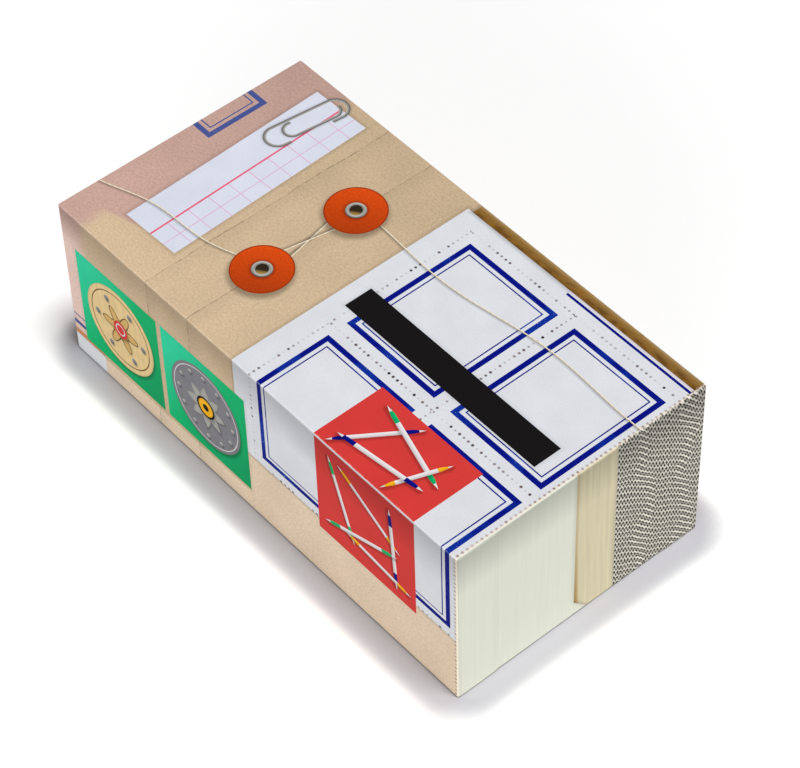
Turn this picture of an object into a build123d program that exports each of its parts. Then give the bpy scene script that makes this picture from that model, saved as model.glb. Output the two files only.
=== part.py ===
from build123d import *
from collections import namedtuple
import math
import os

# A rigid card box for a picture-pair memory game: a tray, a full-depth lift-off lid,
# two stacks of square tiles side by side, and a folded rules leaflet lying over both.
# Millimetres. X runs along the box, Y across it and Z up. The origin is on the table,
# under the middle of the box.

# Tiles
tile_side = 60.0
tile_thickness = 1.75
tile_corner_radius = 3.0
tiles_per_stack = 24
tile_drift = 0.2  # furthest that a tile lies off the middle of its stack, each way
tile_twist = 0.2  # most that a tile lies askew, in degrees

# Room round the tiles
stack_gap = 2.0
tile_end_gap = 1.4
tile_side_gap = 0.8

# Rules leaflet, one sheet folded to and fro into three panels
leaflet_paper = 0.13
leaflet_fold_gap = 0.08  # air between two folded panels
leaflet_play = 1.9  # from the leaflet to the tray's bare walls, all round
leaflet_lie_gap = 0.1  # a folded sheet never lies quite flat
leaflet_headroom = 0.55  # from the leaflet's top up to the tray's rim

# Board shells
tray_board_thickness = 1.5
lid_board_thickness = 1.5
fold_radius = 0.2  # outside of each scored fold; the cut corners are sharp
corner_slit = 0.1  # each end wall stops this far short of the side walls

# Corner stays, strips of gummed tape pressed into the board at its corners
stay_thickness = 0.1
stay_leg = 12.0
stay_end_margin = 4.0

# Covering paper
wrap_thickness = 0.15
wrap_edge_radius = 0.3  # how tightly the paper goes over the folds and corners
turn_in_depth = 15.0  # how far the paper goes down inside a wall
turn_in_lap = 2.0  # neighbouring flaps meet over this much of it, then draw apart
turn_in_relief = 1.0
turn_under_depth = 11.0
corner_tab = 10.0  # the side papers turn this far round onto each end, under its flap
corner_tab_slope = 1.5  # where the end's flap comes down off a tab
end_flap_setback = 0.1  # the end's flap is cut this far short of the rounded corner
bottom_sheet_thickness = 0.15
bottom_sheet_inset = 1.5
bottom_sheet_corner_radius = 2.0

# How the lid sits
lid_side_gap = 0.4  # from the tray's paper to the lid's turned-in paper
lid_seat_gap = 0.3  # from the tray's papered rim up to the lid's ceiling
lid_table_gap = 0.5  # from the table up to the lid's papered rim

# A board shell, mouth down with its bare rim at Z = 0: its plan size inside, its board,
# and its height over the closed end
Shell = namedtuple("Shell", "inside board height")


def grown(plan, amount):
    """A plan size with the same amount added on every side."""
    return tuple(size + 2 * amount for size in plan)


def outside(shell):
    """Plan size over the bare board."""
    return grown(shell.inside, shell.board)


def papered(shell):
    """Plan size over the paper, which lies double on the ends, over the corner tabs."""
    length, width = grown(outside(shell), wrap_thickness)
    return length + 2 * wrap_thickness, width


# Heights above the table
tray_underside = bottom_sheet_thickness + wrap_thickness
tray_floor = tray_underside + tray_board_thickness
stack_top = tray_floor + tiles_per_stack * tile_thickness
leaflet_bottom = stack_top + leaflet_lie_gap
leaflet_pitch = leaflet_paper + leaflet_fold_gap
leaflet_top = leaflet_bottom + 2 * leaflet_pitch + leaflet_paper
tray_rim = leaflet_top + leaflet_headroom
lid_rim = lid_table_gap + wrap_thickness
lid_ceiling = tray_rim + wrap_thickness + lid_seat_gap

# The two shells
tray = Shell(
    inside=(2 * (tile_side + tile_end_gap) + stack_gap, tile_side + 2 * tile_side_gap),
    board=tray_board_thickness,
    height=tray_rim - tray_underside,
)
lid = Shell(
    inside=grown(papered(tray), lid_side_gap + wrap_thickness),
    board=lid_board_thickness,
    height=lid_ceiling + lid_board_thickness - lid_rim,
)
stack_centre = (tile_side + stack_gap) / 2


def slab(plan, low, high):
    """A square-cornered block between two heights."""
    return Pos(0, 0, (low + high) / 2) * Box(plan[0], plan[1], high - low)


def top_edges(block):
    """The edges round a block's top face."""
    return block.faces().sort_by(Axis.Z)[-1].edges()


def upright_edges(block):
    """A block's four upright edges."""
    return block.edges().filter_by(Axis.Z)


def folded_block(plan, height):
    """The outer form of a folded blank: rounded at its folds, sharp where it was cut."""
    block = slab(plan, 0, height)
    return fillet(top_edges(block), fold_radius)


def corner_stays(shell):
    """Four angles of tape, flush with the outside of the board."""
    plan = outside(shell)
    low, high = stay_end_margin, shell.height - stay_end_margin
    band = slab(plan, low, high) - slab(grown(plan, -stay_thickness), low, high)
    along = slab((plan[0] - 2 * stay_leg, plan[1]), low, high)
    across = slab((plan[0], plan[1] - 2 * stay_leg), low, high)
    return band - along - across


def board(shell):
    """A scored blank folded into a floor and four walls, with room for the corner stays.

    The end walls stand between the side walls, joined to the blank by their fold alone.
    """
    plan = outside(shell)
    inner_face = shell.height - shell.board
    hollow = slab(shell.inside, -shell.board, inner_face)
    blank = folded_block(plan, shell.height) - hollow
    slit = Pos(0, 0, inner_face / 2) * Box(shell.board, corner_slit, inner_face)
    for side_x in (-1, 1):
        for side_y in (-1, 1):
            x = side_x * (shell.inside[0] + shell.board) / 2
            y = side_y * (shell.inside[1] - corner_slit) / 2
            blank -= Pos(x, y, 0) * slit
    return blank - corner_stays(shell)


def corner_tab_steps(shell):
    """Where the end flaps rise over the corner tabs: two low steps on each end."""
    plan = grown(outside(shell), wrap_thickness)
    near = plan[1] / 2 - wrap_edge_radius - end_flap_setback
    far = plan[1] / 2 - corner_tab
    top = shell.height - fold_radius
    outline = Polyline(
        (0, near), (wrap_thickness, near), (wrap_thickness, far),
        (0, far - corner_tab_slope), close=True,
    )
    step = extrude(make_face(outline), top + wrap_thickness)
    step = Pos(plan[0] / 2, 0, -wrap_thickness) * step
    steps = [step, mirror(step, Plane.XZ)]
    return steps + [mirror(piece, Plane.YZ) for piece in steps]


def turned_in_flaps(shell):
    """The paper folded over the rim and down the inside of each wall, cut back at its ends."""
    half_length, half_width = shell.inside[0] / 2, shell.inside[1] / 2
    flaps = []
    for run, reach, turn in (
        (half_length, half_width, 0),
        (half_width - wrap_thickness, half_length, 90),
    ):
        eased = run - turn_in_relief
        outline = Polyline(
            (-run, -wrap_thickness), (run, -wrap_thickness), (run, turn_in_lap),
            (eased, turn_in_depth), (-eased, turn_in_depth), (-run, turn_in_lap),
            close=True,
        )
        flap = extrude(Plane.XZ * make_face(outline), -wrap_thickness)
        for half_turn in (0, 180):
            flaps.append(Rot(0, 0, turn + half_turn) * Pos(0, -reach, 0) * flap)
    return flaps


def wrap(shell):
    """Covering paper: closed end, four sides, corner tabs, rim and turned-in edges."""
    plan = outside(shell)
    skin = slab(grown(plan, wrap_thickness), -wrap_thickness, shell.height + wrap_thickness)
    skin = fillet(upright_edges(skin) + top_edges(skin), wrap_edge_radius)
    skin -= folded_block(plan, shell.height)
    skin -= slab(shell.inside, -wrap_thickness, 0)
    for piece in corner_tab_steps(shell) + turned_in_flaps(shell):
        skin += piece
    return skin


def bottom_sheet():
    """Plain sheet pasted under the tray, over the turned-under edges of its paper."""
    plan = grown(outside(tray), wrap_thickness - bottom_sheet_inset)
    sheet = slab(plan, 0, bottom_sheet_thickness)
    return fillet(upright_edges(sheet), bottom_sheet_corner_radius)


def leaflet():
    """One sheet in three panels: its folds run along the box and its ends are square."""
    length, width = grown(tray.inside, -leaflet_play)
    fold_outside = (leaflet_pitch + leaflet_paper) / 2
    panel = width - 2 * fold_outside
    section = Sketch()
    for layer in range(3):
        section += Pos(0, layer * leaflet_pitch) * Rectangle(panel, leaflet_paper)
    ring = Circle(fold_outside) - Circle(fold_outside - leaflet_paper)
    for layer, side in ((0, 1), (1, -1)):
        half = Pos(side * fold_outside, 0) * Rectangle(2 * fold_outside, 2 * fold_outside)
        place = Pos(side * panel / 2, (layer + 0.5) * leaflet_pitch)
        section += place * (ring & half)
    sheet = extrude(Plane.YZ * section, length / 2, both=True)
    return Pos(0, 0, leaflet_bottom + leaflet_paper / 2) * sheet


def tile_blank():
    """One die-cut tile, standing on Z = 0."""
    return extrude(RectangleRounded(tile_side, tile_side, tile_corner_radius), tile_thickness)


def tile_place(stack, level):
    """Where a tile lies, with the small unevenness of a box that was filled by hand."""
    count = level + stack * tiles_per_stack
    along = tile_drift * math.sin(2.4 * count + 0.5)
    across = tile_drift * math.cos(1.9 * count)
    askew = tile_twist * math.sin(3.1 * count + 1.0)
    middle = (2 * stack - 1) * stack_centre
    height = tray_floor + level * tile_thickness
    return Pos(middle + along, across, height) * Rot(0, 0, askew)


def pieces():
    """Every sub-part under its own name, in its place in the closed box."""
    lid_place = Pos(0, 0, lid_rim)
    tray_place = Pos(0, 0, tray_rim) * Rot(180, 0, 0)
    under = slab(grown(outside(tray), -turn_under_depth), 0, tray_underside)
    found = {"tray_wrap": tray_place * wrap(tray) - under, "lid_wrap": lid_place * wrap(lid)}
    for name, shell, place in (("tray", tray, tray_place), ("lid", lid, lid_place)):
        found[name + "_board"] = place * board(shell)
        found[name + "_corner_stays"] = place * corner_stays(shell)
    found["tray_bottom_sheet"] = bottom_sheet()
    found["rules_leaflet"] = leaflet()
    blank = tile_blank()
    for stack, side in enumerate(("left", "right")):
        for level in range(tiles_per_stack):
            found[f"tile_{side}_{level + 1:02d}"] = tile_place(stack, level) * blank
    return found


os.makedirs("parts", exist_ok=True)
for name, piece in pieces().items():
    export_step(piece, f"parts/{name}.step")

length, width = papered(lid)
height = lid_rim + lid.height + wrap_thickness
print(f"box {length:.2f} x {width:.2f} x {height:.2f} mm")
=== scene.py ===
"""Dresses a picture-pair memory game in its card box.

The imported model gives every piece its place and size. This file gives them their finish: the
printed covering paper, board, tape, the pictures on the tiles and a folded leaflet. It also sets
up the floor, the lamps and the camera. Patterns are worked out in millimetres on the box.
"""
import math
from collections import namedtuple

import bpy
import numpy as np
from mathutils import Matrix, Vector


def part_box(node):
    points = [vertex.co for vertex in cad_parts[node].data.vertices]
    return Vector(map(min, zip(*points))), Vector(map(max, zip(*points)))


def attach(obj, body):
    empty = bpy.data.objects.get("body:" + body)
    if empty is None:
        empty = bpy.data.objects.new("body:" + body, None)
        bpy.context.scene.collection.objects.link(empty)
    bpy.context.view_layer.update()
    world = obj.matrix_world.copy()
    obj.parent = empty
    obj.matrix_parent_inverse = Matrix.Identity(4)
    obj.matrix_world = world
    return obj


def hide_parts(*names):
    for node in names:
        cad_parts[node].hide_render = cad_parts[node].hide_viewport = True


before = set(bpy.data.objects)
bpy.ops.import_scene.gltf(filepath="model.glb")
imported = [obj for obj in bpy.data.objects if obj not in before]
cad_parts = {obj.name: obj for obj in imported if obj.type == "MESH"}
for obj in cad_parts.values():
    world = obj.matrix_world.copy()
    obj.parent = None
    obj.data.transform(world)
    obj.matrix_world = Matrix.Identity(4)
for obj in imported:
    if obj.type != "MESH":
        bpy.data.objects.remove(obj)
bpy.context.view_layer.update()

bl_info = {
    "name": "Picture-pair memory game",
    "version": (1, 0, 0),
    "blender": (4, 5, 0),
    "location": "View3D > Sidebar > Card box",
    "description": "Finishes for a card game box, its tiles and its leaflet",
    "category": "Object",
}

PER_METRE = 1000.0  # patterns are written in millimetres, and Blender's coordinates are metres

HALF_LENGTH, HALF_WIDTH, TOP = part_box("lid_wrap")[1] * PER_METRE
BOARD_FACE = 1.2  # from the outside of the lid to behind its paper, where the print turns in

STRAIGHT = (0.0, 0.0, 0.0)
PRINTED_LIGHT = (-0.6, 0.8, 0.0)  # towards the light that the round prints are drawn in
FILLED = 1000.0  # a line so wide that it fills its figure
DRAWN_LINE = 0.5  # the width of a line drawn on a tile
PICTURES = 24  # pairs of tiles, one of each pair in each stack
SHEET_SPAN = 0.2  # a little more than the leaflet measures when it is unfolded, in metres
PANEL_POINTS, FOLD_POINTS, LENGTH_POINTS = 41, 11, 61  # across, round and along the leaflet


def linear(hexadecimal):
    """An sRGB hex colour as linear red, green, blue and alpha."""
    shares = [int(hexadecimal[i:i + 2], 16) / 255 for i in (1, 3, 5)]
    lit = [c / 12.92 if c <= 0.04045 else ((c + 0.055) / 1.055) ** 2.4 for c in shares]
    return (*lit, 1.0)


def ink(name, description, hexadecimal):
    """A colour that a user can change."""
    return bpy.props.FloatVectorProperty(
        name=name, description=description, default=linear(hexadecimal),
        subtype="COLOR", size=4, min=0.0, max=1.0,
    )


class CoverInks(bpy.types.PropertyGroup):
    """Colours of the printed covering paper."""

    kraft: ink("Kraft", "Kraft paper on the left half", "#CDB494")
    rosy: ink("Rosy kraft", "Kraft paper at the far left and on the left end", "#C4A195")
    blush: ink("Pale rosy kraft", "The same paper lower down on the front", "#E0C2B7")
    peach: ink("Pale kraft", "Strip along the foot of the front", "#DEC9B0")
    label: ink("Label", "Pale gummed label", "#D9DBE0")
    navy: ink("Navy", "Double lines round the labels", "#020F7C")
    worn_navy: ink("Worn navy", "The same lines where their ink is thin", "#082C94")
    faded_navy: ink("Faded navy", "Label outlines printed straight on the kraft", "#46538F")
    tan: ink("Tan", "Narrow stripe at the front's left foot", "#C4865C")
    slip: ink("Ledger", "Ledger slip", "#D6D9E6")
    rule: ink("Ledger rule", "Strong line down the ledger slip", "#E0607E")
    square: ink("Ledger squares", "Fine squares on the ledger slip", "#D99BC0")
    washer: ink("Washer", "Pressed fibre washer", "#CB460F")
    thread: ink("Thread", "Waxed linen thread", "#EFE2C6")
    metal: ink("Metal", "Eyelets and paper clip", "#A3A19C")
    green: ink("Green", "Squares on the front", "#05AF6A")
    # Painted light: the green squares where they are lit, at their upper left
    green_in_light: ink("Sea green", "The same squares at their upper left", "#2CCB9B")
    red: ink("Red", "Panel over the front fold", "#D03B37")
    black: ink("Black", "Bar across the labels", "#0E0C0D")
    cream: ink("Cream", "Cut-out figures", "#E0C48F")
    slate: ink("Slate", "Cut-out figures", "#7C7B80")
    sunny: ink("Yellow", "Bands and middles", "#F3B21E")
    stick: ink("Stick", "Game sticks on the red panel", "#E4DEE0")
    petal: ink("Petal", "Rosette on the pale disc", "#CFA968")
    pencil: ink("Pencil", "Drawn lines", "#6B4A2B")
    # Painted light: the strip where it is lit
    strip_in_light: ink("Golden brown", "Strip along the back fold, where it catches the light", "#A5854F")
    umber: ink("Umber", "The same strip beside the label", "#67471D")
    hazel: ink("Hazel", "Warm patches along the same strip", "#8A6228")
    # Painted highlight: the strip at the fold
    strip_highlight: ink("Buff", "The same strip at the fold itself", "#B9A684")
    painted: ink("Pale end", "Painted board on the right end", "#DBDDCF")
    wood: ink("Wood", "Flat stick on the right end", "#D2C9AA")
    # Painted shadow along the stick's left edge
    wood_edge_shade: ink("Wood edge", "The same stick's shaded left edge", "#A5854C")
    light_yarn: ink("Light yarn", "Woven cloth on the right end", "#E6E2D5")
    dark_yarn: ink("Dark yarn", "Woven cloth on the right end", "#3A3730")


class StockColours(bpy.types.PropertyGroup):
    """Colours of the papers and boards that carry no picture."""

    tray_paper: ink("Tray paper", "Kraft paper round the tray", "#C7A97F")
    grey_board: ink("Grey board", "Recycled board of the box", "#A39B8E")
    tape: ink("Gummed tape", "Brown tape round the board's corners", "#A67F52")
    foot_paper: ink("Bottom sheet", "Paper under the tray", "#CDB694")
    tile_core: ink("Tile board", "Board inside a tile, seen at its edge", "#B4ADA2")
    tile_paper: ink("Tile paper", "Paper on both faces of a tile", "#ECEAE2")
    leaflet: ink("Leaflet", "Uncoated leaflet paper", "#EFEDE4")


class LeafletSizes(bpy.types.PropertyGroup):
    """The leaflet's paper, and how it springs open."""

    paper: bpy.props.FloatProperty(
        name="Paper", description="Thickness of the leaflet's paper", default=0.00013,
        unit="LENGTH", min=0.00005,
    )
    spring: bpy.props.FloatProperty(
        name="Spring", description="How far the top panel's free edge stands up",
        default=0.00045, unit="LENGTH", min=0.0, max=0.0006,
    )
    ripple: bpy.props.FloatProperty(
        name="Ripple", description="Height of the paper's slight waves",
        default=0.00005, unit="LENGTH", min=0.0, max=0.0001,
    )


class StageSettings(bpy.types.PropertyGroup):
    """Camera, lamps and floor."""

    azimuth: bpy.props.FloatProperty(
        name="Azimuth", description="Where the camera stands round the box",
        default=math.radians(50.79), subtype="ANGLE",
    )
    elevation: bpy.props.FloatProperty(
        name="Elevation", description="How steeply the camera looks down",
        default=math.radians(48.75), subtype="ANGLE",
    )
    roll: bpy.props.FloatProperty(
        name="Roll", description="How far the camera leans", default=math.radians(-1.9),
        subtype="ANGLE",
    )
    distance: bpy.props.FloatProperty(
        name="Distance", description="From the camera to the middle of the box's foot",
        default=0.7064, unit="LENGTH", min=0.3,
    )
    lens: bpy.props.FloatProperty(
        name="Lens", description="Focal length on a 36 mm frame", default=141.2,
        unit="CAMERA", min=20.0,
    )
    floor: ink("Floor", "White table top", "#F3F3F3")
    contact: bpy.props.FloatProperty(
        name="Contact", description="How far the soft shade round the box's foot reaches",
        default=0.0085, unit="LENGTH", min=0.0,
    )
    sky: bpy.props.FloatProperty(
        name="Sky", description="Light from all round", default=0.16, min=0.0, max=2.0,
    )
    key: bpy.props.FloatProperty(
        name="Key light", description="Broad light from overhead, a little to the right",
        default=2.56, min=0.0,
    )
    fill: bpy.props.FloatProperty(
        name="Fill light", description="Broad low light from beside the camera",
        default=1.88, min=0.0,
    )


COLOUR = {"Colour": "Color"}  # what most groups give
PLACED = {"Below": "Color", "Point": "Vector", "Place": "Vector"}  # what most prints are given


def result_of(value):
    """A node's first open output, or the value as it is."""
    if isinstance(value, bpy.types.Node):
        return next(out for out in value.outputs if out.enabled)
    return value


def add(tree, kind, *values, sockets=None, **settings):
    """Adds a node, or one of this file's node groups, named by kind, with its settings.

    The values go to its inputs in order and sockets to inputs by name. A node or a socket
    that is given as a value is linked.
    """
    group = bpy.data.node_groups.get(kind)
    made = tree.nodes.new("ShaderNodeGroup" if group else "ShaderNode" + kind)
    if group:
        made.node_tree = group
    for name, value in settings.items():
        setattr(made, name, value)
    open_inputs = [socket for socket in made.inputs if socket.enabled]
    by_name = {socket.name: socket for socket in reversed(open_inputs)}
    pairs = list(zip(open_inputs, values))
    pairs += [(by_name[name], value) for name, value in (sockets or {}).items()]
    for socket, value in pairs:
        value = result_of(value)
        if isinstance(value, bpy.types.NodeSocket):
            tree.links.new(value, socket)
        elif socket.type == "VECTOR":
            socket.default_value = tuple(value)[:3]
        else:
            socket.default_value = value
    return made


def new_group(name, inputs, outputs=COLOUR):
    """An empty node group with these sockets, what it is given and what it has to give."""
    tree = bpy.data.node_groups.new(name, "ShaderNodeTree")
    for side, sockets in (("INPUT", inputs), ("OUTPUT", outputs)):
        for label, kind in sockets.items():
            tree.interface.new_socket(label, in_out=side, socket_type="NodeSocket" + kind)
    given = tree.nodes.new("NodeGroupInput").outputs
    wanted = tree.nodes.new("NodeGroupOutput").inputs
    return tree, given, wanted


def give(tree, wanted, **results):
    """Joins a group's results to its outputs."""
    for name, result in results.items():
        tree.links.new(result_of(result), wanted[name])


def new_material(name, node=None):
    """An empty material. With a node's name, it goes on that CAD node."""
    made = bpy.data.materials.new(name)
    made.use_nodes = True
    made.node_tree.nodes.clear()
    if node:
        put_on(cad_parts[node], made)
    return made


def put_on(piece, material):
    """Gives a piece one material."""
    piece.data.materials.clear()
    piece.data.materials.append(material)


def paper_surface(tree, colour, height, relief, roughness, gloss=0.06):
    """A matt paper or board: a dielectric of IOR 1.5, with its relief in metres as bump, whose
    fibres scatter nearly all that a smooth face would mirror."""
    bump = add(tree, "Bump", sockets={"Distance": relief, "Height": height})
    look = {
        "Base Color": colour, "Roughness": roughness, "IOR": 1.5, "Normal": bump,
        "Specular IOR Level": gloss,
    }
    add(tree, "OutputMaterial", add(tree, "BsdfPrincipled", sockets=look))


def in_millimetres(tree):
    """Where a point is on the box, in millimetres."""
    place = add(tree, "TexCoord").outputs["Object"]
    return add(tree, "VectorMath", place, PER_METRE, operation="SCALE")


def after(tree, colour, point):
    """The same point, to within a millionth of a millimetre, but worked out only once the
    colour is. Cycles would otherwise hold every print's masks at once, past its stack."""
    return add(tree, "VectorMath", colour, (1e-6,) * 3, point, operation="MULTIPLY_ADD")


def between(left, right, low, high):
    """A rectangle's middle and half size, from its edges."""
    middle = ((left + right) / 2, (low + high) / 2, 0.0)
    half = ((right - left) / 2, (high - low) / 2, 0.0)
    return middle, half


def in_own_axes(tree, given):
    """A group's point as its print has it: from its place, along its own turned axes."""
    return add(
        tree, "Mapping", given["Point"], given["Place"], given["Turn"], vector_type="TEXTURE",
    )


def under_shade(tree, below, local, moved, reach, *levels, easing="SMOOTHSTEP"):
    """What lies under a round print, with the print's shade on it: its reach, moved aside."""
    aside = add(tree, "VectorMath", local, moved, operation="SUBTRACT")
    length = add(tree, "VectorMath", aside, operation="LENGTH")
    over = add(tree, "Math", length, reach, operation="SUBTRACT")
    shade = add(tree, "MapRange", over, *levels, interpolation_type=easing)
    return add(tree, "VectorMath", below, shade, operation="SCALE")


def kraft_group():
    """Kraft paper: grain, short fibres that lie mostly one way and broad clouds, darker and
    paler than the tone by a few percent, with sparse dark flecks."""
    tree, given, wanted = new_group(
        "Kraft paper", {"Point": "Vector", "Tone": "Color"}, {**COLOUR, "Height": "Float"},
    )
    look = {"Scale": 1 / 0.5, "Detail": 4.0, "Roughness": 0.7}
    grain = add(tree, "TexNoise", given["Point"], sockets=look)
    along = add(tree, "Mapping", given["Point"], sockets={"Scale": (0.9, 1.5, 1.0)})
    fibres = add(tree, "TexNoise", along, sockets={"Scale": 1 / 0.8, "Detail": 3.0})
    clouds = add(tree, "TexNoise", given["Point"], sockets={"Scale": 1 / 13, "Detail": 2.0})
    texture = add(tree, "Math", grain, 2.0, fibres, operation="MULTIPLY_ADD")
    fine = add(tree, "MapRange", texture, 1.0, 2.0, 0.82, 1.18)
    broad = add(tree, "MapRange", clouds, 0.3, 0.7, 0.95, 1.05)
    level = add(tree, "Math", fine, broad, operation="MULTIPLY")
    paper = add(tree, "VectorMath", given["Tone"], level, operation="SCALE")
    cells = add(tree, "TexVoronoi", given["Point"], sockets={"Scale": 1 / 1.7})
    fleck = add(tree, "Math", cells, 0.07, operation="LESS_THAN")
    chance = add(tree, "SeparateXYZ", cells.outputs["Color"])
    rare = add(tree, "Math", chance, 0.55, operation="LESS_THAN")
    flecked = add(tree, "Math", fleck, rare, operation="MULTIPLY")
    faint = add(tree, "Math", flecked, 0.45, operation="MULTIPLY")
    marked = add(tree, "Mix", faint, paper, linear("#7A6144"), data_type="RGBA")
    give(tree, wanted, Colour=marked, Height=texture)


def label_group():
    """Gummed label paper: nearly white and smooth, with faint clouds and a little grain."""
    tree, given, wanted = new_group("Label paper", {"Point": "Vector", "Tone": "Color"})
    clouds = add(tree, "TexNoise", given["Point"], sockets={"Scale": 1 / 9, "Detail": 3.0})
    grain = add(tree, "TexNoise", given["Point"], sockets={"Scale": 1 / 0.35, "Detail": 1.0})
    both = add(tree, "Math", clouds, grain, operation="ADD")
    level = add(tree, "MapRange", both, 0.7, 1.3, 0.94, 1.05)
    give(tree, wanted, Colour=add(tree, "VectorMath", given["Tone"], level, operation="SCALE"))


def card_group():
    """A printed rectangle. The distance from its edge is the larger of |x| - half length and
    |y| - half width in its own turned axes; ink goes where it is below zero, and what lies
    just outside is shaded."""
    tree, given, wanted = new_group(
        "Printed card",
        {**PLACED, "Half size": "Vector", "Turn": "Vector", "Ink": "Color", "Shade": "Float"},
        {**COLOUR, "Distance": "Float", "Local": "Vector", "Away": "Vector"},
    )
    local = in_own_axes(tree, given)
    size = add(tree, "VectorMath", local, operation="ABSOLUTE")
    away = add(tree, "VectorMath", size, given["Half size"], operation="SUBTRACT")
    past_end, past_side = add(tree, "SeparateXYZ", away).outputs[:2]
    distance = add(tree, "Math", past_end, past_side, operation="MAXIMUM")
    shadow = add(
        tree, "MapRange", distance, 0.0, 1.3, given["Shade"], 1.0,
        interpolation_type="SMOOTHSTEP",
    )
    shaded = add(tree, "VectorMath", given["Below"], shadow, operation="SCALE")
    inside = add(tree, "Math", distance, 0.0, operation="LESS_THAN")
    colour = add(tree, "Mix", inside, shaded, given["Ink"], data_type="RGBA")
    give(tree, wanted, Colour=colour, Distance=distance, Local=local, Away=away)


def hole_group():
    """A row of holes at equal steps along a line: how far a point is from the nearest hole's
    centre, and a random draw from 0 to 1 that is steady over each hole."""
    tree, given, wanted = new_group(
        "Row of holes", {"Along": "Float", "Off line": "Float", "Pitch": "Float"},
        {"Offset": "Float", "Draw": "Float"},
    )
    half = add(tree, "Math", given["Pitch"], 0.5, operation="MULTIPLY")
    less_half = add(tree, "Math", half, -1.0, operation="MULTIPLY")
    along = add(tree, "Math", given["Along"], half, less_half, operation="WRAP")
    spot = add(tree, "CombineXYZ", along, given["Off line"])
    offset = add(tree, "VectorMath", spot, operation="LENGTH")
    from_start = add(tree, "Math", given["Along"], half, operation="ADD")
    number = add(tree, "Math", from_start, given["Pitch"], operation="SNAP")
    draw = add(tree, "TexWhiteNoise", number, noise_dimensions="1D")
    give(tree, wanted, Offset=offset, Draw=draw)


def frame_group():
    """A label's double line and its perforation. Both lines run at a set distance inside the
    rectangle's edge, and their ink is thin and specked here and there; the holes sit on a
    line outside it, at equal steps along each side, and some have nearly closed up."""
    tree, given, wanted = new_group(
        "Label frame",
        {**PLACED, "Half size": "Vector", "Ink": "Color", "Worn": "Color", "Holes": "Float"},
    )
    card = add(
        tree, "Printed card", given["Below"], given["Point"], given["Place"],
        given["Half size"], STRAIGHT, given["Below"], 1.0,
    )
    distance = card.outputs["Distance"]
    half_line, thin_line_in, half_thin_line = 0.67, 2.4, 0.17
    hole_pitch, holes_out = 1.34, 2.5
    thick = add(tree, "Math", distance, -half_line, half_line, operation="COMPARE")
    thin = add(tree, "Math", distance, -thin_line_in, half_thin_line, operation="COMPARE")
    lines = add(tree, "Math", thick, thin, operation="MAXIMUM")
    thinning = add(tree, "TexNoise", given["Point"], sockets={"Scale": 1 / 13, "Detail": 2.0})
    wear_and_fold_shade = add(tree, "MapRange", thinning, 0.52, 0.6, 0.0, 1.0)
    specks = add(tree, "TexNoise", given["Point"], sockets={"Scale": 1 / 0.35, "Detail": 2.0})
    limit = add(tree, "MapRange", wear_and_fold_shade, 0.0, 1.0, 0.85, 0.7)
    whole = add(tree, "Math", specks, limit, operation="LESS_THAN")
    inked = add(tree, "Math", lines, whole, operation="MULTIPLY")
    ink = add(tree, "Mix", wear_and_fold_shade, given["Ink"], given["Worn"], data_type="RGBA")
    lined = add(tree, "Mix", inked, given["Below"], ink, data_type="RGBA")
    along, up = add(tree, "SeparateXYZ", card.outputs["Local"]).outputs[:2]
    past_end, past_side = add(tree, "SeparateXYZ", card.outputs["Away"]).outputs[:2]
    upright = add(tree, "Math", past_end, past_side, operation="GREATER_THAN")
    run = add(tree, "Mix", upright, along, up, data_type="FLOAT")
    across = add(tree, "Math", distance, holes_out, operation="SUBTRACT")
    holes = add(tree, "Row of holes", run, across, hole_pitch)
    draw = holes.outputs["Draw"]
    radius = add(tree, "MapRange", draw, 0.0, 1.0, 0.17, 0.33)
    past_rim = add(tree, "Math", holes.outputs["Offset"], radius, operation="SUBTRACT")
    hole = add(tree, "MapRange", past_rim, -0.08, 0.08, 1.0, 0.0)
    depth = add(tree, "Math", draw, 2.0, operation="POWER")
    patches = add(tree, "TexNoise", given["Point"], sockets={"Scale": 1 / 7, "Detail": 1.0})
    open_there = add(tree, "MapRange", patches, 0.42, 0.6, 0.3, 1.0)
    open_here = add(tree, "Math", depth, open_there, operation="MULTIPLY")
    strength = add(tree, "MapRange", open_here, 0.0, 0.6, 0.14, 0.95)
    place = add(tree, "SeparateXYZ", given["Point"])
    clear = add(tree, "Math", place, HALF_LENGTH - 2, operation="LESS_THAN")
    kept = add(tree, "Math", hole, clear, operation="MULTIPLY")
    shown = add(tree, "Math", kept, strength, operation="MULTIPLY")
    wanted_holes = add(tree, "Math", shown, given["Holes"], operation="MULTIPLY")
    hollow = add(
        tree, "Mix", open_here, linear("#8D7370"), linear("#1F1E24"), data_type="RGBA",
    )
    dotted = add(tree, "Mix", wanted_holes, lined, hollow, data_type="RGBA")
    give(tree, wanted, Colour=dotted)


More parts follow.
